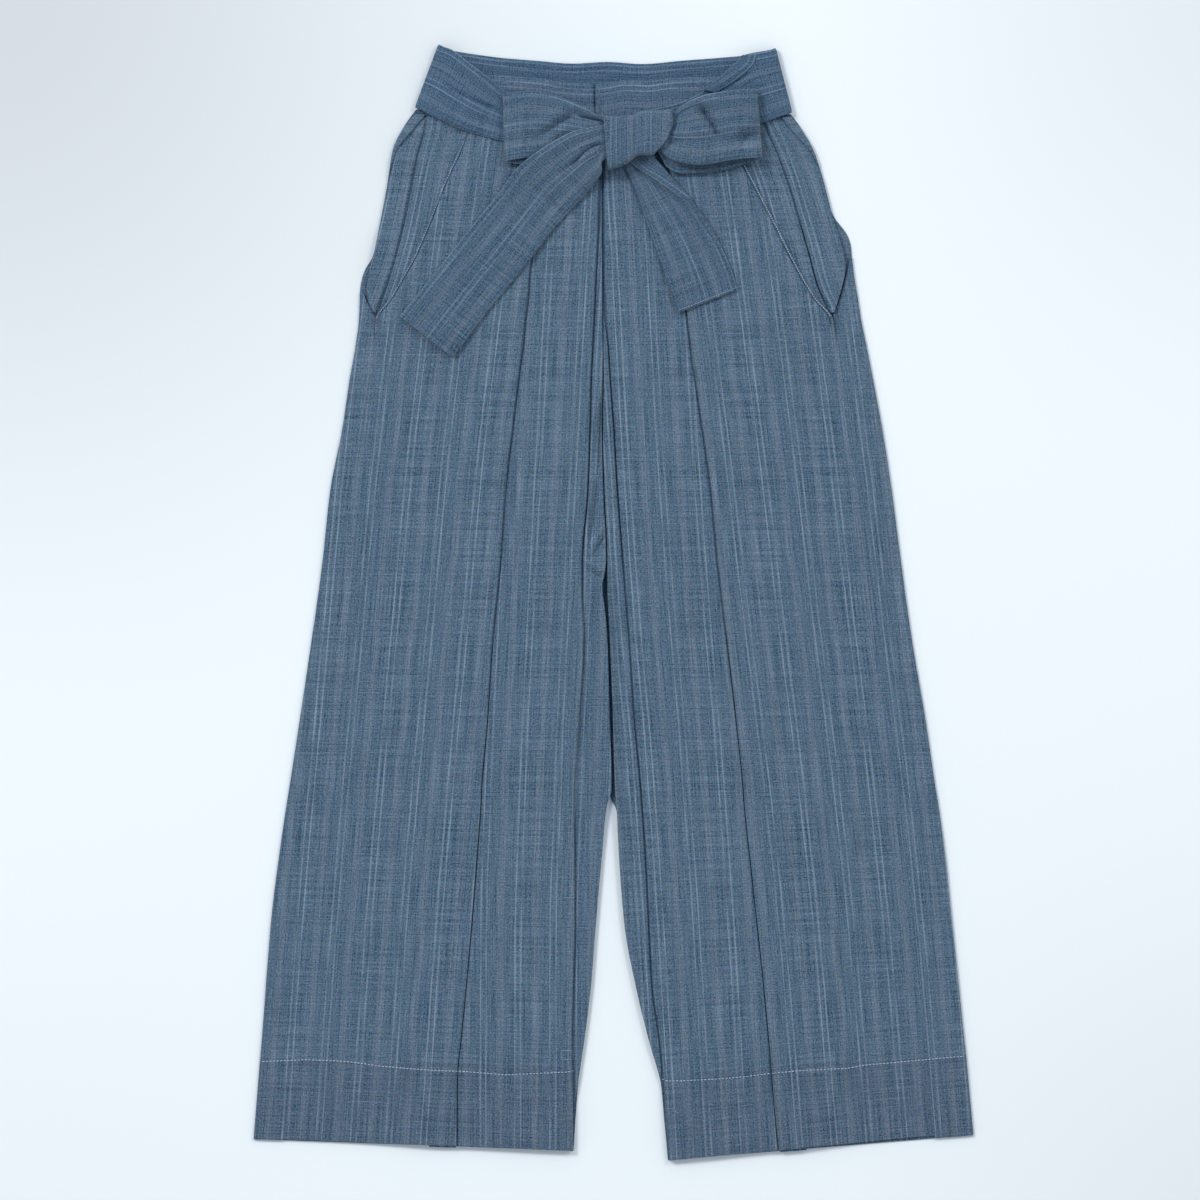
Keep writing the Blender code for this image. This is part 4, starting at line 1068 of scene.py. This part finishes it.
def knot_grids():
    """A sleeve of flattened rings, each a box whose corners are as round as squareness says. A ring
    lies on a curve through its top, its middle and its bottom."""
    rows = np.array(KNOT, float)
    spots = np.arange(len(rows))
    at = np.linspace(0, spots[-1], KNOT_ROWS)
    first, second, third, top, bottom, low, high = (
        smooth_line(spots, column, at)[:, None] for column in rows.T
    )
    turns = 2 * math.pi * (np.arange(KNOT_SIDES + 1) + 0.5) / KNOT_SIDES

    def soft_power(values):
        return np.copysign(np.abs(values) ** KNOT_SQUARENESS, values)

    down = mix(top, bottom, 0.5) + (bottom - top) / 2 * soft_power(np.cos(turns))
    height = mix(low, high, 0.5) + (high - low) / 2 * soft_power(np.sin(turns))
    share = (down - top) / (bottom - top)
    across = (
        first * (1 - 2 * share) * (1 - share) + second * 4 * share * (1 - share)
        + third * share * (2 * share - 1)
    )
    points = np.stack([across, down, height], axis=2)
    grain = np.stack([across + KNOT_GRAIN_SHIFT, arc_lengths(points)], axis=2)
    return [(points, grain, None)]


def settle(points, strength):
    """Lifts and presses the layers together, in proportion to their height, so that they never
    cross."""
    points = points.copy()
    lift = sum(tuck_lift(points, *crease) for crease in CREASES)
    points[..., 2] *= 1 + strength * np.clip(lift, *CREASE_LIMITS) / TOP_LAYER
    return points


def cut_of(grids):
    """(width, length, area) of the flat cloth of these grids, in metres."""
    widths, lengths, area = [], [], 0.0
    for points, _, holes in grids:
        widths.append(arc_lengths(points)[:, -1].max())
        lengths.append(arc_lengths(points.transpose(1, 0, 2))[:, -1].max())
        first = np.cross(points[1:, :-1] - points[:-1, :-1], points[:-1, 1:] - points[:-1, :-1])
        second = np.cross(points[1:, :-1] - points[1:, 1:], points[:-1, 1:] - points[1:, 1:])
        faces = (np.linalg.norm(first, axis=2) + np.linalg.norm(second, axis=2)) / 2
        if holes is not None:
            faces = np.where(holes[:-1, :-1], 0.0, faces)
        area += faces.sum()
    width, length = sum(widths), max(lengths)
    return width * MM, length * MM, min(area, width * length) * MM * MM


def shell(name, grids, thickness, finish, soft_edges):
    """A thin shell over each grid, as one object with a 'grain' map in metres. Soft edges are
    thinner than the rest."""
    strength = bpy.context.scene.hakama_sizes.crease
    parts = []
    start = 0
    for points, grain, holes in grids:
        rows, columns = points.shape[:2]
        index = np.arange(rows * columns).reshape(rows, columns) + start
        faces = np.stack([index[:-1, :-1], index[1:, :-1], index[1:, 1:], index[:-1, 1:]], axis=2)
        kept = np.ones(faces.shape[:2], bool) if holes is None else ~holes[:-1, :-1]
        from_edge = np.minimum(np.arange(columns), np.arange(columns)[::-1])
        weights = np.take(EDGE_THINNING, np.minimum(from_edge, len(EDGE_THINNING) - 1))
        settled = settle(points, strength).reshape(-1, 3)
        parts.append((settled, grain.reshape(-1, 2) * MM, np.tile(weights, rows), faces[kept]))
        start += rows * columns
    points, grain, weights, faces = (np.concatenate(part) for part in zip(*parts))
    used, faces = np.unique(faces, return_inverse=True)
    points, grain, weights, faces = points[used], grain[used], weights[used], faces.reshape(-1, 4)
    points[:, 1] = LENGTH / 2 - points[:, 1]
    mesh = bpy.data.meshes.new(name)
    mesh.from_pydata((points * MM).tolist(), [], faces.tolist())
    mesh.uv_layers.new(name="grain").data.foreach_set("uv", grain[faces].reshape(-1))
    mesh.validate()
    up = sum(polygon.normal.z * polygon.area for polygon in mesh.polygons)
    if up < 0:
        mesh.flip_normals()
    piece = add_piece(name, mesh, finish)
    wall = piece.modifiers.new("thickness", "SOLIDIFY")
    wall.thickness = thickness
    wall.offset = 0.0
    if soft_edges:
        group = piece.vertex_groups.new(name="inside")
        for weight in sorted(set(EDGE_THINNING)):
            group.add(np.flatnonzero(weights == weight).tolist(), weight, "REPLACE")
        wall.vertex_group = group.name
        wall.thickness_vertex_group = LEAST_THICKNESS
    weighted = piece.modifiers.new("normals", "WEIGHTED_NORMAL")
    weighted.keep_sharp = False
    return piece


def add_piece(name, mesh, finish):
    """An object of this mesh and finish, with smooth shading."""
    mesh.materials.append(finish)
    mesh.shade_smooth()
    piece = bpy.data.objects.new(name, mesh)
    bpy.context.scene.collection.objects.link(piece)
    return piece


def sew(node, slot, grids, finish, soft_edges=False):
    """Makes the piece of cloth that takes the place of a solid. The size of the same name as its
    slot is its thickness."""
    thickness = getattr(bpy.context.scene.hakama_sizes, slot)
    name = node.replace("_leg_", "_") + "_cloth"
    piece = shell(name, grids, thickness, finish, soft_edges)
    width, length, area = cut_of(grids)
    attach(piece, "root")
    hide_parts(node)


def set_up(tree, node, settings):
    """Sets properties and inputs of a node. An input takes a value or the socket that feeds it."""
    for name, value in settings.items():
        if isinstance(value, bpy.types.NodeSocket):
            tree.links.new(value, node.inputs[name])
        elif isinstance(name, str) and hasattr(node, name):
            setattr(node, name, value)
        else:
            node.inputs[name].default_value = value
    return node


def add_node(tree, kind, settings):
    return set_up(tree, tree.nodes.new(kind), settings)


def noise_streaks(tree, grain, across, along, detail=0.0):
    """Irregular streaks, about as wide and long as these sizes in mm. They average a half."""
    size = (1 / (across * MM), 1 / (along * MM), 1.0)
    scaled = add_node(
        tree, "ShaderNodeVectorMath", {"operation": "MULTIPLY", 0: grain, 1: size}
    )
    return add_node(tree, "ShaderNodeTexNoise", {
        "noise_dimensions": "2D", "Scale": 1.0, "Detail": detail, "Vector": scaled.outputs[0],
    })


def strong_streaks(tree, grain, across, along, low, high):
    """Streaks spread from 0 to 1. Low and high are the noise values that give 0 and 1."""
    noise = noise_streaks(tree, grain, across, along, 1.0)
    return add_node(
        tree, "ShaderNodeMapRange", {"From Min": low, "From Max": high, "Value": noise.outputs[0]}
    ).outputs[0]


def stripe_ramp(tree, place, stripes, edge):
    """The strength of the stripe at this place of the repeat, and 0 between stripes. A stripe is a
    peak as wide as itself if 'edge' is 0, and else it is flat with edges this wide."""
    ramp = add_node(tree, "ShaderNodeValToRGB", {"Fac": place})
    stops = ramp.color_ramp.elements
    stops[0].position, stops[0].color = 0.0, (0, 0, 0, 1)
    stops[1].position, stops[1].color = 1.0, (0, 0, 0, 1)
    for at, width, strength in stripes:
        half = width / 2
        shape = ((-width, 0), (0, strength), (width, 0))
        if edge:
            shape = ((-half - edge, 0), (-half, strength), (half, strength), (half + edge, 0))
        for shift, value in shape:
            stop = stops.new((at + shift) / STRIPE_REPEAT)
            stop.color = (value, value, value, 1)
    return ramp.outputs[0]


def new_finish(name):
    """An empty finish and its node tree."""
    finish = bpy.data.materials.new(name)
    finish.use_nodes = True
    return finish, finish.node_tree


def plain_weave_cotton(name, tone=(1.0, 1.0, 1.0), hem=False, line_share=1.0):
    """Plain-weave cotton, yarn-dyed in indigo: matte, with a warp of thin pale lines in pairs and
    greyish bands, fine streaks of uneven yarn along the warp, and slubs across it. Real threads are
    0.4 mm apart, too fine to show, so the finest streaks here are about a millimetre wide."""
    colours = bpy.context.scene.hakama_colours
    finish, tree = new_finish(name)
    grain_map = add_node(tree, "ShaderNodeUVMap", {"uv_map": "grain"})
    grain = add_node(
        tree, "ShaderNodeVectorMath",
        {"operation": "ADD", 0: grain_map.outputs[0], 1: GRAIN_START},
    ).outputs[0]
    parts = add_node(tree, "ShaderNodeSeparateXYZ", {0: grain})
    repeats = add_node(
        tree, "ShaderNodeMath",
        {"operation": "DIVIDE", 0: parts.outputs[0], 1: STRIPE_REPEAT * MM},
    )
    place = add_node(
        tree, "ShaderNodeMath", {"operation": "FRACT", 0: repeats.outputs[0]}
    ).outputs[0]
    lines = stripe_ramp(tree, place, PALE_LINES, 0)
    uneven = strong_streaks(tree, grain, *LINE_FADE)
    faded = add_node(tree, "ShaderNodeMath", {"operation": "MULTIPLY", 0: lines, 1: uneven})
    shade = colours.teal
    for source, share, colour in (
        (stripe_ramp(tree, place, GREY_BANDS, BAND_EDGE), 1.0, colours.lavender),
        (faded.outputs[0], line_share, colours.pale),
        (strong_streaks(tree, grain, *DARK_SLUBS), DARK_SLUB_SHARE, colours.navy),
        (strong_streaks(tree, grain, *PALE_SLUBS), PALE_SLUB_SHARE, colours.pale),
    ):
        part = add_node(tree, "ShaderNodeMath", {"operation": "MULTIPLY", 0: source, 1: share})
        blend = {"data_type": "RGBA", 0: part.outputs[0], 6: shade, 7: colour}
        shade = add_node(tree, "ShaderNodeMix", blend).outputs[2]

    swing = -sum(levels for *_, levels in YARNS) / 2
    relief = 0.0
    for across, along, levels in YARNS:
        yarn = noise_streaks(tree, grain, across, along).outputs[0]
        weighed = {"operation": "MULTIPLY_ADD", 0: yarn, 1: levels, 2: swing}
        swing = add_node(tree, "ShaderNodeMath", weighed).outputs[0]
        weighed = {"operation": "MULTIPLY_ADD", 0: yarn, 1: levels / RELIEF_LEVELS, 2: relief}
        relief = add_node(tree, "ShaderNodeMath", weighed).outputs[0]
    specks = noise_streaks(tree, grain, *DYE_SPECKS).outputs[1]
    dye = [level * size for level, size in zip(DYE_LEVELS, GREY_LEVEL)]
    half_dye = [-change / 2 for change in dye]
    for change in (
        {"operation": "MULTIPLY_ADD", 0: specks, 1: dye, 2: half_dye},
        {"operation": "SCALE", 0: GREY_LEVEL, "Scale": swing},
    ):
        added = add_node(tree, "ShaderNodeVectorMath", change).outputs[0]
        shade = add_node(
            tree, "ShaderNodeVectorMath", {"operation": "ADD", 0: shade, 1: added}
        ).outputs[0]
    if hem:
        first, last = (edge + GRAIN_START[1] for edge in HEM_EDGE)
        doubled = add_node(
            tree, "ShaderNodeMapRange",
            {"From Min": first, "From Max": last, "Value": parts.outputs[1]},
        ).outputs[0]
        blend = {"data_type": "RGBA", 0: doubled, 6: (1, 1, 1, 1), 7: (*HEM_TONE, 1)}
        tone = add_node(tree, "ShaderNodeMix", blend).outputs[2]
    woven = add_node(
        tree, "ShaderNodeVectorMath", {"operation": "MULTIPLY", 0: shade, 1: tone}
    )
    bump = add_node(
        tree, "ShaderNodeBump", {"Strength": 0.12, "Distance": 0.0002, "Height": relief}
    )
    set_up(tree, tree.nodes["Principled BSDF"], {
        "Base Color": woven.outputs[0], "Normal": bump.outputs[0], "Roughness": 0.88,
        "IOR": 1.5, "Specular IOR Level": 0.2, "Sheen Weight": 0.08, "Sheen Roughness": 0.5,
    })
    return finish


def finish_named(name, **settings):
    return bpy.data.materials.get(name) or plain_weave_cotton(name, **settings)


def darker(colour, share):
    return [value * (1 - share) for value in colour[:3]] + [1.0]


def spun_thread(name, colour):
    """Spun cotton sewing thread, twisted in two plies: matte, with a fine slanting twist whose
    furrows are darkened by painted shade.
    """
    finish, tree = new_finish(name)
    twist = add_node(tree, "ShaderNodeTexWave", {
        "Scale": 900.0, "Distortion": 1.0, "bands_direction": "DIAGONAL",
        "Vector": add_node(tree, "ShaderNodeNewGeometry", {}).outputs["Position"],
    })
    blend = {"data_type": "RGBA", 0: twist.outputs[1], 6: darker(colour, PLY_PAINTED_SHADE), 7: colour}
    plied = add_node(tree, "ShaderNodeMix", blend).outputs[2]
    set_up(tree, tree.nodes["Principled BSDF"], {"Base Color": plied, "Roughness": 0.75})
    return finish


def soft_patch(tree, place, radius):
    """1 at a place on the floor, fading to 0 at the radius."""
    where = add_node(tree, "ShaderNodeTexCoord", {}).outputs["Object"]
    centred = add_node(
        tree, "ShaderNodeVectorMath", {"operation": "SUBTRACT", 0: where, 1: (*place, 0.0)}
    )
    length = add_node(
        tree, "ShaderNodeVectorMath", {"operation": "LENGTH", 0: centred.outputs[0]}
    )
    return add_node(tree, "ShaderNodeMapRange", {
        "interpolation_type": "SMOOTHSTEP", "From Max": radius, "To Min": 1.0, "To Max": 0.0,
        "Value": length.outputs["Value"],
    }).outputs[0]


def matte_floor(colour):
    """Matte pale board with painted shade, darker towards its corners as falling-off light would
    make it. It gives soft plain shadows."""
    finish, tree = new_finish("matte_floor")
    shaded_floor_colour = colour
    # Each patch darkens the floor towards a corner with painted shade.
    for place, radius, share in PAINTED_FLOOR_SHADE_PATCHES:
        patch = soft_patch(tree, place, radius)
        blend = {"data_type": "RGBA", 0: patch, 6: shaded_floor_colour, 7: darker(colour, share)}
        shaded_floor_colour = add_node(tree, "ShaderNodeMix", blend).outputs[2]
    set_up(tree, tree.nodes["Principled BSDF"], {
        "Base Color": shaded_floor_colour, "Roughness": 0.9, "Specular IOR Level": 0.1,
    })
    return finish


def surface_tree(names):
    """A tree of the upper faces of these pieces, for laying stitches on them."""
    points, faces = [], []
    for name in names:
        mesh = bpy.data.objects[name].data
        start = len(points)
        points += [vertex.co.copy() for vertex in mesh.vertices]
        faces += [[start + at for at in polygon.vertices] for polygon in mesh.polygons]
    return BVHTree.FromPolygons(points, faces)


def stitch_line(name, path, on, finish, share):
    """Stitches along a path of (across, down) places, laid on these pieces as short rods with
    round ends, which dip into the cloth at both ends. Share is their size beside the hems'."""
    sizes = bpy.context.scene.hakama_sizes
    stitch, pitch = sizes.stitch * share, sizes.stitch_pitch * share
    height = bpy.data.objects[on[0]].modifiers["thickness"].thickness / 2
    tree = surface_tree(on)
    spots = np.array([(across * MM, (LENGTH / 2 - down) * MM) for across, down in path])
    lengths = np.concatenate([[0], np.cumsum(np.linalg.norm(np.diff(spots, axis=0), axis=1))])
    turns = [2 * math.pi * corner / STITCH_SIDES for corner in range(STITCH_SIDES)]
    points, faces = [], []
    for number in range(int(lengths[-1] / pitch)):
        start = number * pitch + (pitch - stitch) / 2
        centres = []
        for part in np.linspace(0, 1, STITCH_RINGS):
            at = start + stitch * part
            x, y = (np.interp(at, lengths, spots[:, axis]) for axis in (0, 1))
            hit = tree.ray_cast(Vector((x, y, RAY_START)), Vector((0, 0, -1)))[0]
            if hit is not None:
                rise = height + STITCH_RADIUS * STITCH_ARCH * math.sin(math.pi * part)
                centres.append(Vector((x, y, hit.z + rise)))
        if len(centres) < STITCH_RINGS:
            continue
        way = (centres[-1] - centres[0]).normalized()
        side = way.cross(Vector((0, 0, 1))).normalized()
        up = side.cross(way)
        first = len(points)
        for ring, centre in enumerate(centres):
            size = STITCH_RADIUS * (STITCH_END if ring in (0, STITCH_RINGS - 1) else 1.0)
            points += [
                centre + (side * math.cos(turn) + up * math.sin(turn)) * size for turn in turns
            ]
        corners = range(first, first + STITCH_SIDES)
        for low in range(first, len(points) - STITCH_SIDES, STITCH_SIDES):
            for corner in range(STITCH_SIDES):
                here, after = low + corner, low + (corner + 1) % STITCH_SIDES
                faces.append([here, after, after + STITCH_SIDES, here + STITCH_SIDES])
        faces.append(list(reversed(corners)))
        faces.append([corner + (STITCH_RINGS - 1) * STITCH_SIDES for corner in corners])
    mesh = bpy.data.meshes.new(name)
    mesh.from_pydata(points, [], faces)
    piece = add_piece(name, mesh, finish)
    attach(piece, "root")


class HAKAMA_OT_back_legs(bpy.types.Operator):
    """Build the back of each leg."""

    bl_idname = "hakama.back_legs"
    bl_label = "Back of the legs"

    def execute(self, context):
        finish = finish_named("woven_leg_cotton", hem=True)
        for side in INWARD:
            sew(f"back_leg_{side}", "leg_cloth", [back_grid(side)], finish)
        return {"FINISHED"}


class HAKAMA_OT_side_leaves(bpy.types.Operator):
    """Build the two leaves of cloth in each side opening."""

    bl_idname = "hakama.side_leaves"
    bl_label = "Leaves of the side openings"

    def execute(self, context):
        finish = finish_named("woven_leg_cotton", hem=True)
        for side in INWARD:
            for node, grids, held, under in (
                ("back_leaf", back_leaf_grids(side), "folded", "back"),
                ("front_leaf", front_leaf_grids(side), "laid", "back_leaf"),
            ):
                sew(f"{node}_{side}", "leg_cloth", grids, finish)
        return {"FINISHED"}


class HAKAMA_OT_front_legs(bpy.types.Operator):
    """Build the pleated front of each leg."""

    bl_idname = "hakama.front_legs"
    bl_label = "Front of the legs"

    def execute(self, context):
        finish = finish_named("woven_leg_cotton", hem=True)
        for side in INWARD:
            grids = [front_grid(side)]
            sew(f"front_leg_{side}", "leg_cloth", grids, finish)
        return {"FINISHED"}


class HAKAMA_OT_waist(bpy.types.Operator):
    """Build the front waistband and the belt round the waist."""

    bl_idname = "hakama.waist"
    bl_label = "Waistband and belt"

    def execute(self, context):
        # The belt and the waistband take the weave darkened by painted shade.
        belt = finish_named("woven_belt_cotton", tone=BELT_PAINTED_SHADE)
        waistband = finish_named("woven_waistband_cotton", tone=WAISTBAND_PAINTED_SHADE)
        flat = [(*row[:2], BELT_GROUND, *row[2:], BELT_GROUND) for row in BELT_BACK]
        folded_left = band_grids(
            BELT_LEFT, 4.0, BELT_LEFT_TUCKS, strip=BELT_LEFT_STRIP,
            strip_first=BELT_LEFT_STRIP_FIRST,
        )
        for node, grids, finish in (
            ("belt_back", band_grids(flat, 2.5), belt),
            ("front_waistband_right", waistband_grids(WAISTBAND_RIGHT, 0.5), waistband),
            ("front_waistband_left", waistband_grids(WAISTBAND_LEFT, 0.8), waistband),
            ("belt_right", band_grids(BELT_RIGHT, 5.0, BELT_RIGHT_TUCKS), belt),
            ("belt_left", folded_left, belt),
        ):
            sew(node, "belt_cloth", grids, finish, soft_edges=True)
        return {"FINISHED"}


class HAKAMA_OT_bow(bpy.types.Operator):
    """Build the loops, tails and knot of the bow."""

    bl_idname = "hakama.bow"
    bl_label = "Bow"

    def execute(self, context):
        # The bow and the knot take the weave darkened by painted shade.
        bow = finish_named("woven_bow_cotton", tone=BOW_PAINTED_SHADE, line_share=LOOP_LINES)
        knot = finish_named("woven_knot_cotton", tone=BOW_PAINTED_SHADE, line_share=KNOT_LINES)
        for node, grids in (
            ("bow_loop_right", band_grids(LOOP_RIGHT, 7.0, LOOP_RIGHT_TUCKS, LOOP_FACE)),
            ("bow_loop_left", band_grids(LOOP_LEFT, 5.0, LOOP_LEFT_TUCKS, LOOP_FACE)),
            ("bow_tail_right", band_grids(TAIL_RIGHT, 5.0, TAIL_RIGHT_TUCKS)),
            ("bow_tail_left", band_grids(TAIL_LEFT, 5.0, TAIL_LEFT_TUCKS, strip=TAIL_LEFT_STRIP)),
        ):
            sew(node, "belt_cloth", grids, bow, soft_edges=True)
        sew("bow_knot", "belt_cloth", knot_grids(), knot)
        return {"FINISHED"}


class HAKAMA_OT_stitching(bpy.types.Operator):
    """Sew the hems, the slanted edges and the end of the short tail."""

    bl_idname = "hakama.stitching"
    bl_label = "Stitching"

    def execute(self, context):
        colours = context.scene.hakama_colours
        pale = spun_thread("pale_spun_thread", list(colours.thread))
        blue = spun_thread("blue_spun_thread", list(colours.blue_thread))
        right, left = ([f"front_{side}_cloth", f"back_{side}_cloth"] for side in INWARD)
        fine = EDGE_STITCH_SHARE
        for name, path, on, thread, share in (
            ("hem_stitching_right", HEM_STITCHES["right"], right, pale, 1.0),
            ("hem_stitching_left", HEM_STITCHES["left"], left, pale, 1.0),
            ("edge_stitching_right", edge_path("right"), right, blue, fine),
            ("edge_stitching_left", edge_path("left"), left, pale, fine),
            ("tail_stitching_left", TAIL_END_STITCHES, ["bow_tail_left_cloth"], blue, fine),
            ("pleat_tack", PLEAT_TACK, right, blue, fine),
            ("hip_tack", HIP_TACK, left, blue, HIP_TACK_SHARE),
        ):
            stitch_line(name, path, on, thread, share)
        return {"FINISHED"}


class HAKAMA_OT_stage(bpy.types.Operator):
    """Lay the floor and set up the light and the camera."""

    bl_idname = "hakama.stage"
    bl_label = "Floor, light and camera"

    def execute(self, context):
        scene = context.scene
        mesh = bpy.data.meshes.new("floor")
        half = FLOOR_SIDE / 2
        corners = [(-half, -half, 0), (half, -half, 0), (half, half, 0), (-half, half, 0)]
        mesh.from_pydata(corners, [], [(0, 1, 2, 3)])
        mesh.materials.append(matte_floor(list(scene.hakama_colours.floor)))
        floor = bpy.data.objects.new("floor", mesh)
        scene.collection.objects.link(floor)
        for name, (place, size, watts) in SOFTBOXES.items():
            light = bpy.data.lights.new(name, "AREA")
            light.shape = "RECTANGLE"
            light.size, light.size_y = size
            light.energy = watts
            lamp = bpy.data.objects.new(name, light)
            lamp.location = place
            lamp.rotation_euler = (-Vector(place)).to_track_quat("-Z", "Y").to_euler()
            scene.collection.objects.link(lamp)
        world = bpy.data.worlds.new("pale_room")
        world.use_nodes = True
        tree = world.node_tree
        way = add_node(tree, "ShaderNodeTexCoord", {}).outputs["Generated"]
        upward = add_node(tree, "ShaderNodeSeparateXYZ", {0: way}).outputs[2]
        strength = add_node(tree, "ShaderNodeMapRange", {
            "From Min": CEILING_START, "From Max": CEILING_FULL, "To Min": SKY_STRENGTH,
            "To Max": SKY_STRENGTH * CEILING_SHARE, "Value": upward,
        })
        higher = add_node(
            tree, "ShaderNodeMapRange",
            {"From Min": TINT_START, "From Max": CEILING_FULL, "Value": upward},
        )
        blend = {"data_type": "RGBA", 0: higher.outputs[0], 6: SKY_COLOUR, 7: CEILING_COLOUR}
        tint = add_node(tree, "ShaderNodeMix", blend)
        set_up(tree, tree.nodes["Background"], {
            "Color": tint.outputs[2], "Strength": strength.outputs[0],
        })
        scene.world = world
        scene.view_settings.view_transform = "Standard"
        scene.view_settings.look = "None"
        lens = bpy.data.cameras.new("camera")
        lens.sensor_width = SENSOR
        lens.lens = SENSOR * CAMERA_HEIGHT / VIEW_WIDTH
        lens.clip_end = FARTHEST
        camera = bpy.data.objects.new("camera", lens)
        camera.location = (*VIEW_CENTRE, CAMERA_HEIGHT)
        scene.collection.objects.link(camera)
        scene.camera = camera
        return {"FINISHED"}


class HAKAMA_PT_panel(bpy.types.Panel):
    """Sidebar panel with the sizes, the colours and the pieces."""

    bl_label = "Hakama trousers"
    bl_idname = "HAKAMA_PT_panel"
    bl_space_type = "VIEW_3D"
    bl_region_type = "UI"
    bl_category = "Hakama"

    def draw(self, context):
        layout = self.layout
        for group in (context.scene.hakama_sizes, context.scene.hakama_colours):
            box = layout.box()
            for name in group.__annotations__:
                box.prop(group, name)
        for name in OPERATORS:
            layout.operator(name)


CLASSES = (
    HakamaSizes, HakamaColours, HAKAMA_OT_back_legs, HAKAMA_OT_side_leaves,
    HAKAMA_OT_front_legs, HAKAMA_OT_waist, HAKAMA_OT_bow, HAKAMA_OT_stitching,
    HAKAMA_OT_stage, HAKAMA_PT_panel,
)


def register():
    for item in CLASSES:
        bpy.utils.register_class(item)
    bpy.types.Scene.hakama_sizes = bpy.props.PointerProperty(type=HakamaSizes)
    bpy.types.Scene.hakama_colours = bpy.props.PointerProperty(type=HakamaColours)


def unregister():
    del bpy.types.Scene.hakama_sizes
    del bpy.types.Scene.hakama_colours
    for item in reversed(CLASSES):
        bpy.utils.unregister_class(item)


def main():
    register()
    for name in OPERATORS:
        group, action = name.split(".")
        getattr(getattr(bpy.ops, group), action)()


if __name__ == "__main__":
    main()
